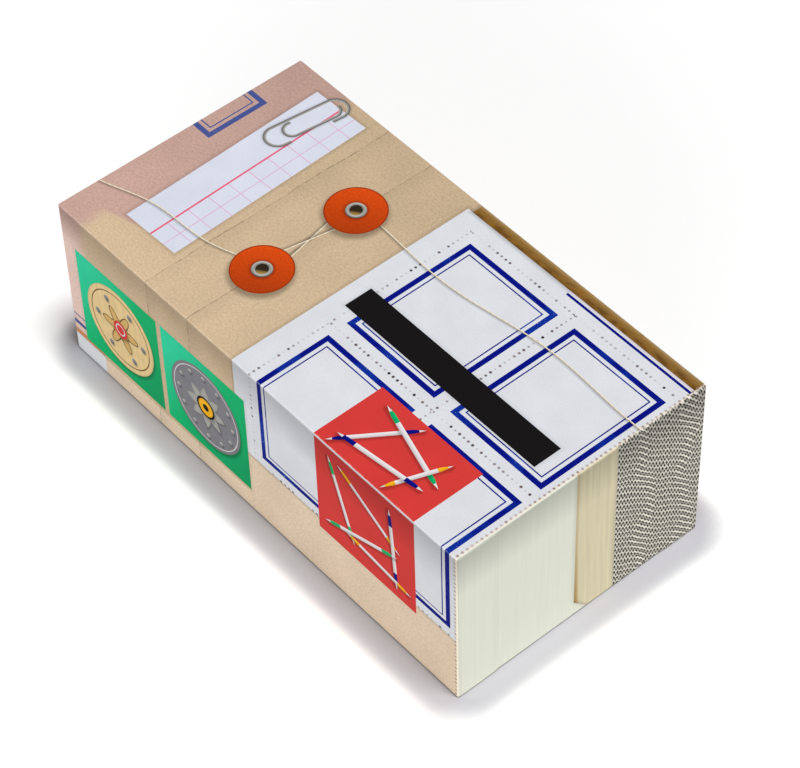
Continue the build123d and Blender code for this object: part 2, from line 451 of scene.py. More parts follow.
def figure_group():
    """A cut-out figure. Its outline is radius + depth x wave(lobes x angle) about its
    middle, where the wave runs from a cosine to a pointed triangle wave. The distance from it
    is that along the radius, divided by the outline's steepness. Ink lies inside the outline,
    as far in as the line is wide, and a shadow falls to the right and down."""
    tree, given, wanted = new_group(
        "Cut-out figure",
        {**PLACED, "Radius": "Float", "Lobes": "Float", "Depth": "Float", "Pointed": "Float",
         "Line": "Float", "Ink": "Color", "Shade": "Float"},
    )
    local = add(tree, "VectorMath", given["Point"], given["Place"], operation="SUBTRACT")
    across, up = add(tree, "SeparateXYZ", local).outputs[:2]
    angle = add(tree, "Math", up, across, operation="ARCTAN2")
    turns = add(tree, "Math", angle, given["Lobes"], operation="MULTIPLY")
    wave = add(tree, "Math", turns, operation="COSINE")
    folded = add(tree, "Math", wave, operation="ARCSINE")
    points = add(tree, "Math", folded, 2 / math.pi, operation="MULTIPLY")
    shape = add(tree, "Mix", given["Pointed"], wave, points, data_type="FLOAT")
    reach = add(tree, "Math", shape, given["Depth"], given["Radius"], operation="MULTIPLY_ADD")
    length = add(tree, "VectorMath", local, operation="LENGTH")
    beyond = add(tree, "Math", length, reach, operation="SUBTRACT")
    falling = add(tree, "Math", turns, operation="SINE")
    slope = add(tree, "Mix", given["Pointed"], falling, 2 / math.pi, data_type="FLOAT")
    ripple = add(tree, "Math", given["Depth"], given["Lobes"], operation="MULTIPLY")
    climb = add(tree, "Math", slope, ripple, operation="MULTIPLY")
    tangent = add(tree, "Math", climb, length, operation="DIVIDE")
    squared = add(tree, "Math", tangent, tangent, 1.0, operation="MULTIPLY_ADD")
    steepness = add(tree, "Math", squared, operation="SQRT")
    distance = add(tree, "Math", beyond, steepness, operation="DIVIDE")
    shaded = under_shade(
        tree, given["Below"], local, (0.4, -0.5, 0.0), reach, -0.5, 0.8, given["Shade"], 1.0,
    )
    # Painted shade: the ink darkens towards the rim
    rim = add(tree, "MapRange", distance, -0.45, 0.0, 1.0, 0.8)
    clouds = add(tree, "TexNoise", given["Point"], sockets={"Scale": 1 / 2.5, "Detail": 4.0})
    uneven = add(tree, "MapRange", clouds, 0.3, 0.7, 0.93, 1.07)
    level = add(tree, "Math", rim, uneven, operation="MULTIPLY")
    inked = add(tree, "VectorMath", given["Ink"], level, operation="SCALE")
    half = add(tree, "Math", given["Line"], 0.5, operation="MULTIPLY")
    middle = add(tree, "Math", half, -1.0, operation="MULTIPLY")
    drawn = add(tree, "Math", distance, middle, half, operation="COMPARE")
    past = add(tree, "Math", distance, 0.0, operation="GREATER_THAN")
    ground = add(tree, "Mix", past, given["Below"], shaded, data_type="RGBA")
    give(tree, wanted, Colour=add(tree, "Mix", drawn, ground, inked, data_type="RGBA"))


def stud_group():
    """A ring of round studs. The angle is wrapped to one share of the ring, and the distance
    is that from the stud there. Each is lit from the upper left and casts a short shadow."""
    tree, given, wanted = new_group(
        "Ring of studs",
        {**PLACED, "Count": "Float", "Ring": "Float", "Radius": "Float", "Ink": "Color"},
    )
    local = add(tree, "VectorMath", given["Point"], given["Place"], operation="SUBTRACT")
    across, up = add(tree, "SeparateXYZ", local).outputs[:2]
    angle = add(tree, "Math", up, across, operation="ARCTAN2")
    share = add(tree, "Math", math.pi, given["Count"], operation="DIVIDE")
    less_share = add(tree, "Math", share, -1.0, operation="MULTIPLY")
    near = add(tree, "Math", angle, share, less_share, operation="WRAP")
    facing = add(tree, "Math", angle, near, operation="SUBTRACT")
    east = add(tree, "Math", facing, operation="COSINE")
    north = add(tree, "Math", facing, operation="SINE")
    way = add(tree, "CombineXYZ", east, north)
    middle = add(tree, "VectorMath", way, given["Ring"], operation="SCALE")
    off = add(tree, "VectorMath", local, middle, operation="SUBTRACT")
    shaded = under_shade(
        tree, given["Below"], off, (0.25, -0.35, 0.0), given["Radius"], -0.3, 0.35, 0.45, 1.0,
        easing="LINEAR",
    )
    toward = add(tree, "VectorMath", off, PRINTED_LIGHT, operation="DOT_PRODUCT")
    lean = add(tree, "Math", toward, given["Radius"], operation="DIVIDE")
    lit = add(tree, "MapRange", lean, -1.0, 1.0, 0.55, 1.45)
    paint = add(tree, "VectorMath", given["Ink"], lit, operation="SCALE")
    length = add(tree, "VectorMath", off, operation="LENGTH")
    on = add(tree, "Math", length, given["Radius"], operation="LESS_THAN")
    give(tree, wanted, Colour=add(tree, "Mix", on, shaded, paint, data_type="RGBA"))


def thread_group():
    """A laid thread: within a half length along its own axis, its middle line is
    height x sin(2 pi along / wave length). It is lit on one side and casts a soft shadow on
    the other, and its twist shows as slanting bands."""
    tree, given, wanted = new_group(
        "Laid thread",
        {**PLACED, "Turn": "Vector", "Half length": "Float", "Height": "Float",
         "Wave length": "Float", "Ink": "Color"},
    )
    local = in_own_axes(tree, given)
    along, up = add(tree, "SeparateXYZ", local).outputs[:2]
    share = add(tree, "Math", along, given["Wave length"], operation="DIVIDE")
    phase = add(tree, "Math", share, 2 * math.pi, operation="MULTIPLY")
    wave = add(tree, "Math", phase, operation="SINE")
    bend = add(tree, "Math", wave, given["Height"], operation="MULTIPLY")
    side = add(tree, "Math", up, bend, operation="SUBTRACT")
    reach = add(tree, "Math", along, operation="ABSOLUTE")
    there = add(tree, "Math", reach, given["Half length"], operation="LESS_THAN")
    lee = add(tree, "Math", side, -0.45, 0.6, operation="COMPARE")
    depth = add(tree, "MapRange", side, -1.0, -0.15, 0.0, 0.52)
    cast = add(tree, "Math", lee, depth, operation="MULTIPLY")
    kept = add(tree, "Math", cast, there, operation="MULTIPLY")
    left = add(tree, "Math", 1.0, kept, operation="SUBTRACT")
    shaded = add(tree, "VectorMath", given["Below"], left, operation="SCALE")
    twist = add(tree, "Math", side, 1.6, along, operation="MULTIPLY_ADD")
    bands = add(tree, "Math", twist, 0.8, operation="PINGPONG")
    lit = add(tree, "MapRange", side, -0.17, 0.06, 0.36, 1.05)
    banded = add(tree, "MapRange", bands, 0.0, 0.8, 0.86, 1.05)
    level = add(tree, "Math", lit, banded, operation="MULTIPLY")
    yarn = add(tree, "VectorMath", given["Ink"], level, operation="SCALE")
    body = add(tree, "Math", side, 0.0, 0.18, operation="COMPARE")
    drawn = add(tree, "Math", body, there, operation="MULTIPLY")
    give(tree, wanted, Colour=add(tree, "Mix", drawn, shaded, yarn, data_type="RGBA"))


def washer_group():
    """A round washer with an eyelet: rings at growing radii about its middle. The light comes
    from the far left, so shades follow the cosine of the angle from there."""
    tree, given, wanted = new_group(
        "Washer", {**PLACED, "Radius": "Float", "Ink": "Color", "Metal": "Color"},
    )
    eyelet_radius, half_rim = 1.95, 0.5
    hole_radius = eyelet_radius - half_rim
    local = add(tree, "VectorMath", given["Point"], given["Place"], operation="SUBTRACT")
    shaded = under_shade(
        tree, given["Below"], local, (0.7, -0.9, 0.0), given["Radius"], -0.6, 1.4, 0.5, 1.0,
    )
    radius = add(tree, "VectorMath", local, operation="LENGTH")
    toward = add(tree, "VectorMath", local, PRINTED_LIGHT, operation="DOT_PRODUCT")
    facing = add(tree, "Math", toward, radius, operation="DIVIDE")
    broad = add(tree, "MapRange", toward, -7.0, 7.0, 0.66, 1.14)
    fibres = add(tree, "TexNoise", given["Point"], sockets={"Scale": 1 / 0.5, "Detail": 4.0})
    rough = add(tree, "MapRange", fibres, 0.3, 0.7, 0.86, 1.14)
    level = add(tree, "Math", broad, rough, operation="MULTIPLY")
    face = add(tree, "VectorMath", given["Ink"], level, operation="SCALE")
    inner = add(tree, "Math", given["Radius"], 0.3, operation="SUBTRACT")
    cut = add(tree, "Math", radius, inner, operation="GREATER_THAN")
    edge = add(tree, "VectorMath", given["Ink"], 0.5, operation="SCALE")
    disc = add(tree, "Mix", cut, face, edge, data_type="RGBA")
    on_disc = add(tree, "Math", radius, given["Radius"], operation="LESS_THAN")
    washer = add(tree, "Mix", on_disc, shaded, disc, data_type="RGBA")
    # Painted shade in a ring round the eyelet
    eyelet_shade = add(tree, "MapRange", radius, 2.4, 3.3, 0.55, 1.0)
    eyelet_shaded = add(tree, "VectorMath", washer, eyelet_shade, operation="SCALE")
    ring = add(tree, "Math", radius, eyelet_radius, half_rim, operation="COMPARE")
    across = add(tree, "MapRange", radius, hole_radius, eyelet_radius + half_rim, -1.0, 1.0)
    # Painted shine on the eyelet's ring, lit on the side towards the light, with painted shade
    # along its rolled edges
    tilt = add(tree, "Math", facing, across, operation="MULTIPLY")
    shine = add(tree, "MapRange", tilt, -0.8, 0.8, 0.12, 1.7)
    round_off = add(tree, "Math", radius, eyelet_radius, operation="SUBTRACT")
    side = add(tree, "Math", round_off, operation="ABSOLUTE")
    rolled = add(tree, "MapRange", side, 0.3, 0.5, 1.0, 0.25)
    eyelet_shine_and_shade = add(tree, "Math", shine, rolled, operation="MULTIPLY")
    metal = add(tree, "VectorMath", given["Metal"], eyelet_shine_and_shade, operation="SCALE")
    eyelet = add(tree, "Mix", ring, eyelet_shaded, metal, data_type="RGBA")
    # The hole is painted dark as shade, with a painted glint
    hole = add(tree, "Math", radius, hole_radius, operation="LESS_THAN")
    glint = add(tree, "MapRange", toward, -1.3, -0.2, 1.0, 0.0)
    depth = add(tree, "Mix", glint, linear("#2B2115"), linear("#A98A4A"), data_type="RGBA")
    give(tree, wanted, Colour=add(tree, "Mix", hole, eyelet, depth, data_type="RGBA"))


def crease_group():
    """A fold across the sheet at one place along it: a broken hairline with a soft painted shade
    on one side.
    """
    tree, given, wanted = new_group(
        "Crease", {"Below": "Color", "Point": "Vector", "Along": "Float"},
    )
    across = add(tree, "SeparateXYZ", given["Point"])
    wander = add(tree, "TexNoise", given["Point"], sockets={"Scale": 1 / 14, "Detail": 3.0})
    drift = add(tree, "MapRange", wander, 0.3, 0.7, -0.2, 0.2)
    place = add(tree, "Math", given["Along"], drift, operation="ADD")
    side = add(tree, "Math", across, place, operation="SUBTRACT")
    hair = add(tree, "Math", side, 0.0, 0.1, operation="COMPARE")
    breaks = add(tree, "TexNoise", given["Point"], sockets={"Scale": 1 / 1.8, "Detail": 3.0})
    strength = add(tree, "MapRange", breaks, 0.4, 0.6, 0.12, 0.7)
    line = add(tree, "Math", hair, strength, operation="MULTIPLY")
    # Painted shade on one side of the crease
    lee = add(tree, "MapRange", side, 0.0, 5.0, 0.93, 1.0, interpolation_type="SMOOTHSTEP")
    past = add(tree, "Math", side, 0.0, operation="GREATER_THAN")
    soft = add(tree, "Mix", past, 1.0, lee, data_type="FLOAT")
    shaded = add(tree, "VectorMath", given["Below"], soft, operation="SCALE")
    creased = add(tree, "Mix", line, shaded, linear("#5F4B35"), data_type="RGBA")
    give(tree, wanted, Colour=creased)


def clip_group():
    """A wire paper clip seen from above: two nested ovals of round wire. An oval's distance is
    that from a straight core, less its radius."""
    tree, given, wanted = new_group(
        "Paper clip", {**PLACED, "Turn": "Vector", "Ink": "Color"},
    )
    local = in_own_axes(tree, given)
    colour = given["Below"]
    across, along = add(tree, "SeparateXYZ", local).outputs[:2]
    for middle, half_core, radius, gap_low, gap_high, gap_side in (
        (0.0, 7.6, 3.1, -6.0, 5.0, 1.0),
        (1.4, 5.2, 2.1, -3.0, 12.0, -1.0),
    ):
        core = add(tree, "Math", along, middle, operation="SUBTRACT")
        reach = add(tree, "Math", core, operation="ABSOLUTE")
        past = add(tree, "Math", reach, half_core, operation="SUBTRACT")
        beyond = add(tree, "Math", past, 0.0, operation="MAXIMUM")
        spot = add(tree, "CombineXYZ", across, beyond)
        off_core = add(tree, "VectorMath", spot, operation="LENGTH")
        side = add(tree, "Math", off_core, radius, operation="SUBTRACT")
        sided = add(tree, "Math", across, gap_side, operation="MULTIPLY")
        right = add(tree, "Math", sided, 0.5, operation="GREATER_THAN")
        low = add(tree, "Math", along, gap_low, operation="GREATER_THAN")
        high = add(tree, "Math", along, gap_high, operation="LESS_THAN")
        level = add(tree, "Math", low, high, operation="MULTIPLY")
        gap = add(tree, "Math", level, right, operation="MULTIPLY")
        wire = add(tree, "Math", 1.0, gap, operation="SUBTRACT")
        # Painted shadow beside each wire, and a painted shine along it
        cast = add(tree, "MapRange", side, 0.3, 1.1, 0.72, 1.0)
        near = add(tree, "Math", side, 0.55, 0.55, operation="COMPARE")
        shady = add(tree, "Math", near, wire, operation="MULTIPLY")
        soft = add(tree, "Mix", shady, 1.0, cast, data_type="FLOAT")
        shaded = add(tree, "VectorMath", colour, soft, operation="SCALE")
        shine = add(tree, "MapRange", side, -0.4, 0.4, 1.2, 0.2)
        lit_steel = add(tree, "VectorMath", given["Ink"], shine, operation="SCALE")
        body = add(tree, "Math", side, 0.0, 0.4, operation="COMPARE")
        drawn = add(tree, "Math", body, wire, operation="MULTIPLY")
        colour = add(tree, "Mix", drawn, shaded, lit_steel, data_type="RGBA")
    give(tree, wanted, Colour=colour)


def ledger_group():
    """A ledger slip: one strong rule down it, and fine squares on the far side of the rule."""
    tree, given, wanted = new_group(
        "Ledger slip",
        {"Point": "Vector", "Tone": "Color", "Rule": "Color", "Squares": "Color"},
    )
    half_wide, half_high, half_line = 2.2, 2.9, 0.11
    paper = add(tree, "Label paper", given["Point"], given["Tone"])
    across, down = add(tree, "SeparateXYZ", given["Point"]).outputs[:2]
    columns = add(tree, "Math", across, half_wide, -half_wide, operation="WRAP")
    column = add(tree, "Math", columns, 0.0, half_line, operation="COMPARE")
    rows = add(tree, "Math", down, half_high, -half_high, operation="WRAP")
    row = add(tree, "Math", rows, 0.0, half_line, operation="COMPARE")
    grid = add(tree, "Math", column, row, operation="MAXIMUM")
    side = add(tree, "Math", across, 0.0, operation="GREATER_THAN")
    squares = add(tree, "Math", grid, side, operation="MULTIPLY")
    faint = add(tree, "Math", squares, 0.75, operation="MULTIPLY")
    squared = add(tree, "Mix", faint, paper, given["Squares"], data_type="RGBA")
    rule = add(tree, "Math", across, 0.0, 0.24, operation="COMPARE")
    give(tree, wanted, Colour=add(tree, "Mix", rule, squared, given["Rule"], data_type="RGBA"))


def stick_group():
    """A thin round game stick, tapered at both tips and banded near them. In its own turned
    axes its half width is the smaller of full and 0.2 x the way left to the tip, and it is
    lit from one side."""
    tree, given, wanted = new_group(
        "Game stick",
        {**PLACED, "Turn": "Vector", "Half length": "Float", "Ink": "Color", "Band": "Color"},
    )
    full = 0.55
    local = in_own_axes(tree, given)
    along, side = add(tree, "SeparateXYZ", local).outputs[:2]
    reach = add(tree, "Math", along, operation="ABSOLUTE")
    left = add(tree, "Math", given["Half length"], reach, operation="SUBTRACT")
    taper = add(tree, "Math", left, 0.2, operation="MULTIPLY")
    half = add(tree, "Math", taper, full, operation="MINIMUM")
    cast = add(tree, "Math", side, 0.45, operation="ADD")
    off = add(tree, "Math", cast, operation="ABSOLUTE")
    blunt = add(tree, "Math", left, full, operation="MINIMUM")
    over = add(tree, "Math", off, blunt, operation="SUBTRACT")
    shadow = add(
        tree, "MapRange", over, -0.3, 0.7, 0.62, 1.0, interpolation_type="SMOOTHSTEP",
    )
    shaded = add(tree, "VectorMath", given["Below"], shadow, operation="SCALE")
    share = add(tree, "Math", reach, given["Half length"], operation="DIVIDE")
    banded = add(tree, "Math", share, 0.72, 0.14, operation="COMPARE")
    paint = add(tree, "Mix", banded, given["Ink"], given["Band"], data_type="RGBA")
    lit = add(tree, "MapRange", side, -full, 0.5 * full, 0.66, 1.04)
    turned = add(tree, "VectorMath", paint, lit, operation="SCALE")
    width = add(tree, "Math", side, operation="ABSOLUTE")
    body = add(tree, "Math", width, half, operation="LESS_THAN")
    give(tree, wanted, Colour=add(tree, "Mix", body, shaded, turned, data_type="RGBA"))


def cloth_group():
    """A two-colour cloth, laid askew. Its rows follow y + slant x + height x sin(x + drift)
    and zigzag across their own line; where the sine falls the zigzag flattens into dashes.
    Dimmer rows zigzag the other way, so the two meet point to point as a mesh; beside the
    dashes they move over into the gaps."""
    tree, given, wanted = new_group(
        "Woven cloth", {"Point": "Vector", "Light": "Color", "Dark": "Color"},
    )
    row_pitch, half_stitch, slant, wave_height = 1.85, 0.5, 0.85, 0.5
    drift_of_waves, turns_per_millimetre = 13.0, 0.52
    across, up = add(tree, "SeparateXYZ", given["Point"]).outputs[:2]
    drift = add(tree, "TexNoise", given["Point"], sockets={"Scale": 1 / 15, "Detail": 1.0})
    phase = add(tree, "Math", drift, drift_of_waves, across, operation="MULTIPLY_ADD")
    slow = add(tree, "Math", phase, turns_per_millimetre, operation="MULTIPLY")
    wave = add(tree, "Math", slow, operation="SINE")
    laid = add(tree, "Math", across, slant, up, operation="MULTIPLY_ADD")
    level = add(tree, "Math", wave, wave_height, laid, operation="MULTIPLY_ADD")
    falling = add(tree, "Math", slow, operation="COSINE")
    band = add(tree, "MapRange", falling, 0.3, 0.9, 0.0, 1.0, interpolation_type="SMOOTHSTEP")
    zigzag = add(tree, "Math", across, half_stitch, operation="PINGPONG")
    uneven = add(tree, "TexNoise", given["Point"], sockets={"Scale": 1 / 0.9, "Detail": 1.0})
    # Which way the rows zigzag, how far they move beside the dashes, the width of their yarn
    # from thin to thick, and how bright it is where it zigzags and where it lies flat
    yarns = []
    for side, moved, thin, thick, zigzagging, flattened in (
        (1, 0.0, 0.12, 0.22, 0.88, 1.0), (-1, -0.575, 0.09, 0.19, 0.58, 0.4),
    ):
        height = add(tree, "MapRange", band, 0.0, 1.0, 1.7 * side, 0.7 * side)
        raised = add(tree, "Math", zigzag, height, level, operation="MULTIPLY_ADD")
        beside = add(tree, "Math", band, moved, raised, operation="MULTIPLY_ADD")
        rows = add(tree, "Math", beside, row_pitch, operation="DIVIDE")
        in_row = add(tree, "Math", rows, 0.5, -0.5, operation="WRAP")
        off_row = add(tree, "Math", in_row, operation="ABSOLUTE")
        width = add(tree, "MapRange", uneven, 0.3, 0.7, thin, thick)
        yarn = add(tree, "Math", off_row, width, operation="SUBTRACT")
        lit = add(tree, "MapRange", yarn, -0.05, 0.05, 1.0, 0.0)
        strength = add(tree, "MapRange", band, 0.0, 1.0, zigzagging, flattened)
        yarns.append(add(tree, "Math", lit, strength, operation="MULTIPLY"))
    final = add(tree, "Math", *yarns, operation="MAXIMUM")
    colour = add(tree, "Mix", final, given["Dark"], given["Light"], data_type="RGBA")
    give(tree, wanted, Colour=colour)


def wood_group():
    """Pale planed wood: grain lines drawn out along the stick, wandering a little."""
    tree, given, wanted = new_group(
        "Planed wood", {"Point": "Vector", "Tone": "Color", "Contrast": "Float"},
    )
    long = add(tree, "Mapping", given["Point"], sockets={"Scale": (1.5, 0.05, 1.0)})
    grain = add(tree, "TexNoise", long, sockets={"Scale": 0.7, "Detail": 5.0})
    lines = add(tree, "MapRange", grain, 0.35, 0.65, -1.0, 1.0)
    level = add(tree, "Math", lines, given["Contrast"], 1.0, operation="MULTIPLY_ADD")
    give(tree, wanted, Colour=add(tree, "VectorMath", given["Tone"], level, operation="SCALE"))


def bar_rows_group():
    """Bare grey bars where small print would be. Rows repeat at one pitch, each bar is cut
    into pieces of uneven length, and a row's length is drawn from its number."""
    tree, given, wanted = new_group(
        "Bar rows", {**PLACED, "Half size": "Vector", "Ink": "Color"},
    )
    pitch, half_bar, piece = 2.6, 0.42, 5.3
    card = add(
        tree, "Printed card", given["Below"], given["Point"], given["Place"],
        given["Half size"], STRAIGHT, given["Below"], 1.0,
    )
    inside = add(tree, "Math", card.outputs["Distance"], 0.0, operation="LESS_THAN")
    across, up = add(tree, "SeparateXYZ", card.outputs["Local"]).outputs[:2]
    half_row = add(tree, "SeparateXYZ", given["Half size"])
    from_row = add(tree, "Math", up, pitch / 2, -pitch / 2, operation="WRAP")
    in_row = add(tree, "Math", from_row, 0.0, half_bar, operation="COMPARE")
    from_start = add(tree, "Math", up, pitch / 2, operation="ADD")
    number = add(tree, "Math", from_start, pitch, operation="SNAP")
    shifted = add(tree, "Math", number, 3.7, across, operation="MULTIPLY_ADD")
    start = add(tree, "Math", shifted, piece, operation="SNAP")
    in_piece = add(tree, "Math", shifted, start, operation="SUBTRACT")
    key = add(tree, "CombineXYZ", number, start)
    drawn = add(tree, "TexWhiteNoise", key, noise_dimensions="2D")
    length = add(tree, "MapRange", drawn, 0.0, 1.0, 0.5 * piece, 0.96 * piece)
    on_piece = add(tree, "Math", in_piece, length, operation="LESS_THAN")
    row_key = add(tree, "TexWhiteNoise", number, noise_dimensions="1D")
    share = add(tree, "MapRange", row_key, 0.0, 0.5, -0.2, 1.0)
    end = add(tree, "Math", half_row, share, operation="MULTIPLY")
    before_end = add(tree, "Math", across, end, operation="LESS_THAN")
    bar = add(tree, "Math", in_row, on_piece, operation="MULTIPLY")
    ended = add(tree, "Math", bar, before_end, operation="MULTIPLY")
    kept = add(tree, "Math", ended, inside, operation="MULTIPLY")
    give(tree, wanted, Colour=add(
        tree, "Mix", kept, given["Below"], given["Ink"], data_type="RGBA",
    ))


def tile_picture(tree, given, flat):
    """A tile's picture: a large and a small figure, a ring of studs between them, and a heart
    with a ring drawn in it."""
    colour = add(tree, "Label paper", flat, given["Ground"])
    for radius, wave, pointed, hue, shade in (
        (23.0, 2.2, 0.0, "Shape", 0.62), (13.0, 1.0, 1.0, "Middle", 0.6),
    ):
        depth = add(tree, "Math", given["Depth"], wave, operation="MULTIPLY")
        sharp = add(tree, "Math", given["Pointed"], pointed, operation="MULTIPLY")
        colour = add(
            tree, "Cut-out figure", colour, flat, STRAIGHT, radius, given["Lobes"], depth,
            sharp, FILLED, given[hue], shade,
        )
    colour = add(
        tree, "Ring of studs", colour, flat, STRAIGHT, given["Studs"], 18.0, 1.5,
        given["Heart"],
    )
    for radius, line, hue, shade in (
        (6.0, FILLED, "Heart", 0.55), (4.4, DRAWN_LINE, "Shape", 1.0),
    ):
        colour = add(
            tree, "Cut-out figure", colour, flat, STRAIGHT, radius, 0.0, 0.0, 0.0, line,
            given[hue], shade,
        )
    return colour


def tile_back(tree, given, flat):
    """The pattern that all tiles have on their backs: a frame round three drawn figures."""
    colour = add(tree, "Label paper", flat, given["Paper"])
    colour = add(
        tree, "Label frame", colour, flat, STRAIGHT, (25.5, 25.5, 0.0), given["Line"],
        given["Line"], 0.0,
    )
    for radius, lobes, depth in ((13.0, 16.0, 0.8), (9.0, 8.0, 2.6), (4.2, 0.0, 0.0)):
        colour = add(
            tree, "Cut-out figure", colour, flat, STRAIGHT, radius, lobes, depth, 0.0,
            DRAWN_LINE, given["Line"], 1.0,
        )
    return colour


def tile_group():
    """A tile, about its own middle with its foot at zero: a picture above, the common pattern
    below, and board between two papers at the cut edge."""
    tree, given, wanted = new_group(
        "Picture tile",
        {"Point": "Vector", "Facing": "Vector", "Thickness": "Float", "Ground": "Color",
         "Shape": "Color", "Middle": "Color", "Heart": "Color", "Lobes": "Float",
         "Depth": "Float", "Pointed": "Float", "Studs": "Float", "Paper": "Color",
         "Core": "Color", "Line": "Color"},
    )
    paper_thickness = 0.16
    point = given["Point"]
    flat = add(tree, "VectorMath", point, (1.0, 1.0, 0.0), operation="MULTIPLY")
    picture = tile_picture(tree, given, flat)
    back_print = tile_back(tree, given, flat)
    fibre = add(tree, "TexNoise", point, sockets={"Scale": 1 / 0.3, "Detail": 3.0})
    cloudy = add(tree, "MapRange", fibre, 0.3, 0.7, 0.82, 1.12)
    board = add(tree, "VectorMath", given["Core"], cloudy, operation="SCALE")
    risen = add(tree, "SeparateXYZ", point).outputs["Z"]
    half = add(tree, "Math", given["Thickness"], 0.5, operation="MULTIPLY")
    from_middle = add(tree, "Math", risen, half, operation="SUBTRACT")
    off_middle = add(tree, "Math", from_middle, operation="ABSOLUTE")
    paper_starts = add(tree, "Math", half, paper_thickness, operation="SUBTRACT")
    on_paper = add(tree, "Math", off_middle, paper_starts, operation="GREATER_THAN")
    edge = add(tree, "Mix", on_paper, board, given["Paper"], data_type="RGBA")
    way_up = add(tree, "SeparateXYZ", given["Facing"]).outputs["Z"]
    above = add(tree, "Math", way_up, 0.4, operation="GREATER_THAN")
    below = add(tree, "Math", way_up, -0.4, operation="LESS_THAN")
    topped = add(tree, "Mix", above, edge, picture, data_type="RGBA")
    colour = add(tree, "Mix", below, topped, back_print, data_type="RGBA")
    give(tree, wanted, Colour=colour)


GROUP_MAKERS = (
    kraft_group, label_group, card_group, hole_group, frame_group, figure_group, stud_group,
    thread_group, washer_group, crease_group, clip_group, ledger_group, stick_group,
    cloth_group, wood_group, bar_rows_group, tile_group,
)


# Where things are printed, in millimetres on the flat sheet: along the box, then across it,
# from the front side's foot over the top to the back side's foot
def front(height):
    """Where a height on the front side lies on the flat sheet."""
    return height - TOP - HALF_WIDTH


def back(height):
    """Where a height on the back side lies on the flat sheet."""
    return TOP + HALF_WIDTH - height


END_FACE = HALF_LENGTH - 0.35  # from here outwards the print is the end's own
LABEL_LEFT = -5.0
LABEL_FOOT = 19.5
LABEL_BACK = HALF_WIDTH - 3.0
LABEL_BACK_FOOT = 41.0
SHEET_END = HALF_LENGTH + 4
EDGE_HOLES = HALF_LENGTH - 0.7  # the labels' last perforation, just short of the fold
EDGE_HOLE_PITCH = 1.3
CREASES = (-20.5, -35.0)
# Left, right, low and high edge of each label's frame
FRAMES = (
    (3.2, 31.4, -10.0, 25.0),
    (36.4, 64.3, -10.0, 25.0),
    (3.2, 31.4, front(22.2), -15.0),
    (36.4, 64.3, front(22.2), -15.0),
    (3.2, 64.3, back(38), back(22.5)),
)
FADED_FRAME = (-84.0, -60.4, 3.0, 20.0)
WASHERS = ((-21.0, 13.0, 0.0), (-21.0, -13.5, 0.0))
WASHER_RADIUS = 7.2
Thread = namedtuple("Thread", "x y turn half_length height wave_length")
THREADS = (
    Thread(-21.0, -0.25, -1.37, 13.5, 0.0, 30.0),
    Thread(-21.0, -0.25, -1.77, 13.5, 0.0, 30.0),
    Thread(23.0, 15.0, 0.05, 43.5, 1.1, 58.0),
    Thread(-44.0, -18.0, 0.2, 23.5, -0.9, 34.0),
)

Stick = namedtuple("Stick", "x y turn half_length")
STICKS = (
    Stick(31.0, -25.5, 0.95, 10.5),
    Stick(38.5, -22.0, -0.28, 12.5),
    Stick(45.0, -26.5, 1.2, 8.0),
    Stick(37.0, -29.5, 0.12, 12.0),
    Stick(30.0, -49.5, -1.25, 12.0),
    Stick(39.0, -44.5, -0.55, 11.5),
    Stick(46.5, -50.5, -1.5, 12.5),
    Stick(36.0, -56.5, 0.35, 12.5),
    Stick(41.5, -60.0, -0.12, 10.5),
)


def bare_paper(tree, inks, point):
    """The sheet's kraft paper. It is rosy left of a wavering edge, paler there down the front,
    dimmer towards the back, and has a pale strip along the front's foot."""
    wander = add(tree, "TexNoise", point, sockets={"Scale": 1 / 9, "Detail": 3.0})
    along, across = add(tree, "SeparateXYZ", point).outputs[:2]
    front_corner = add(tree, "MapRange", across, -28.0, -25.5, 9.0, 0.0)
    drawn_in = add(tree, "Math", along, front_corner, operation="ADD")
    edge = add(tree, "Math", wander, 6.0, drawn_in, operation="MULTIPLY_ADD")
    share = add(tree, "MapRange", edge, -48.5, -44.0, 1.0, 0.0, interpolation_type="SMOOTHSTEP")
    lower = add(tree, "MapRange", across, -35.0, -44.0, 0.0, 1.0)
    pink = add(tree, "Mix", lower, inks.rosy, inks.blush, data_type="RGBA")
    mixed = add(tree, "Mix", share, inks.kraft, pink, data_type="RGBA")
    dimmer = add(tree, "MapRange", across, -30.0, 32.0, 1.03, 0.87)
    tone = add(tree, "VectorMath", mixed, dimmer, operation="SCALE")
    for left, right, height in ((LABEL_LEFT + 3, SHEET_END, LABEL_FOOT), (-SHEET_END, -2, 5.5)):
        tone = add(
            tree, "Printed card", tone, point,
            *between(left, right, front(-4), front(height)), (0.0, 0.0, 0.012), inks.peach, 0.95,
        )
    return add(tree, "Kraft paper", point, tone)


def creases(tree, inks, colour, point):
    """Two folds across the kraft paper."""
    for along in CREASES:
        colour = add(tree, "Crease", colour, point, along)
    return colour


def ledger_and_clip(tree, inks, colour, point):
    """A slip of ledger paper, with a wire clip on its far end."""
    place, half, turn = (-46.5, 3.0, 0.0), (8.2, 28.0, 0.0), (0.0, 0.0, 0.035)
    on_slip = add(tree, "Mapping", point, place, turn, vector_type="TEXTURE")
    slip = add(tree, "Ledger slip", on_slip, inks.slip, inks.rule, inks.square)
    colour = add(tree, "Printed card", colour, point, place, half, turn, slip, 0.8)
    clip_place, clip_turn = (-49.5, 22.5, 0.0), (0.0, 0.0, -0.12)
    return add(tree, "Paper clip", colour, point, clip_place, clip_turn, inks.metal)


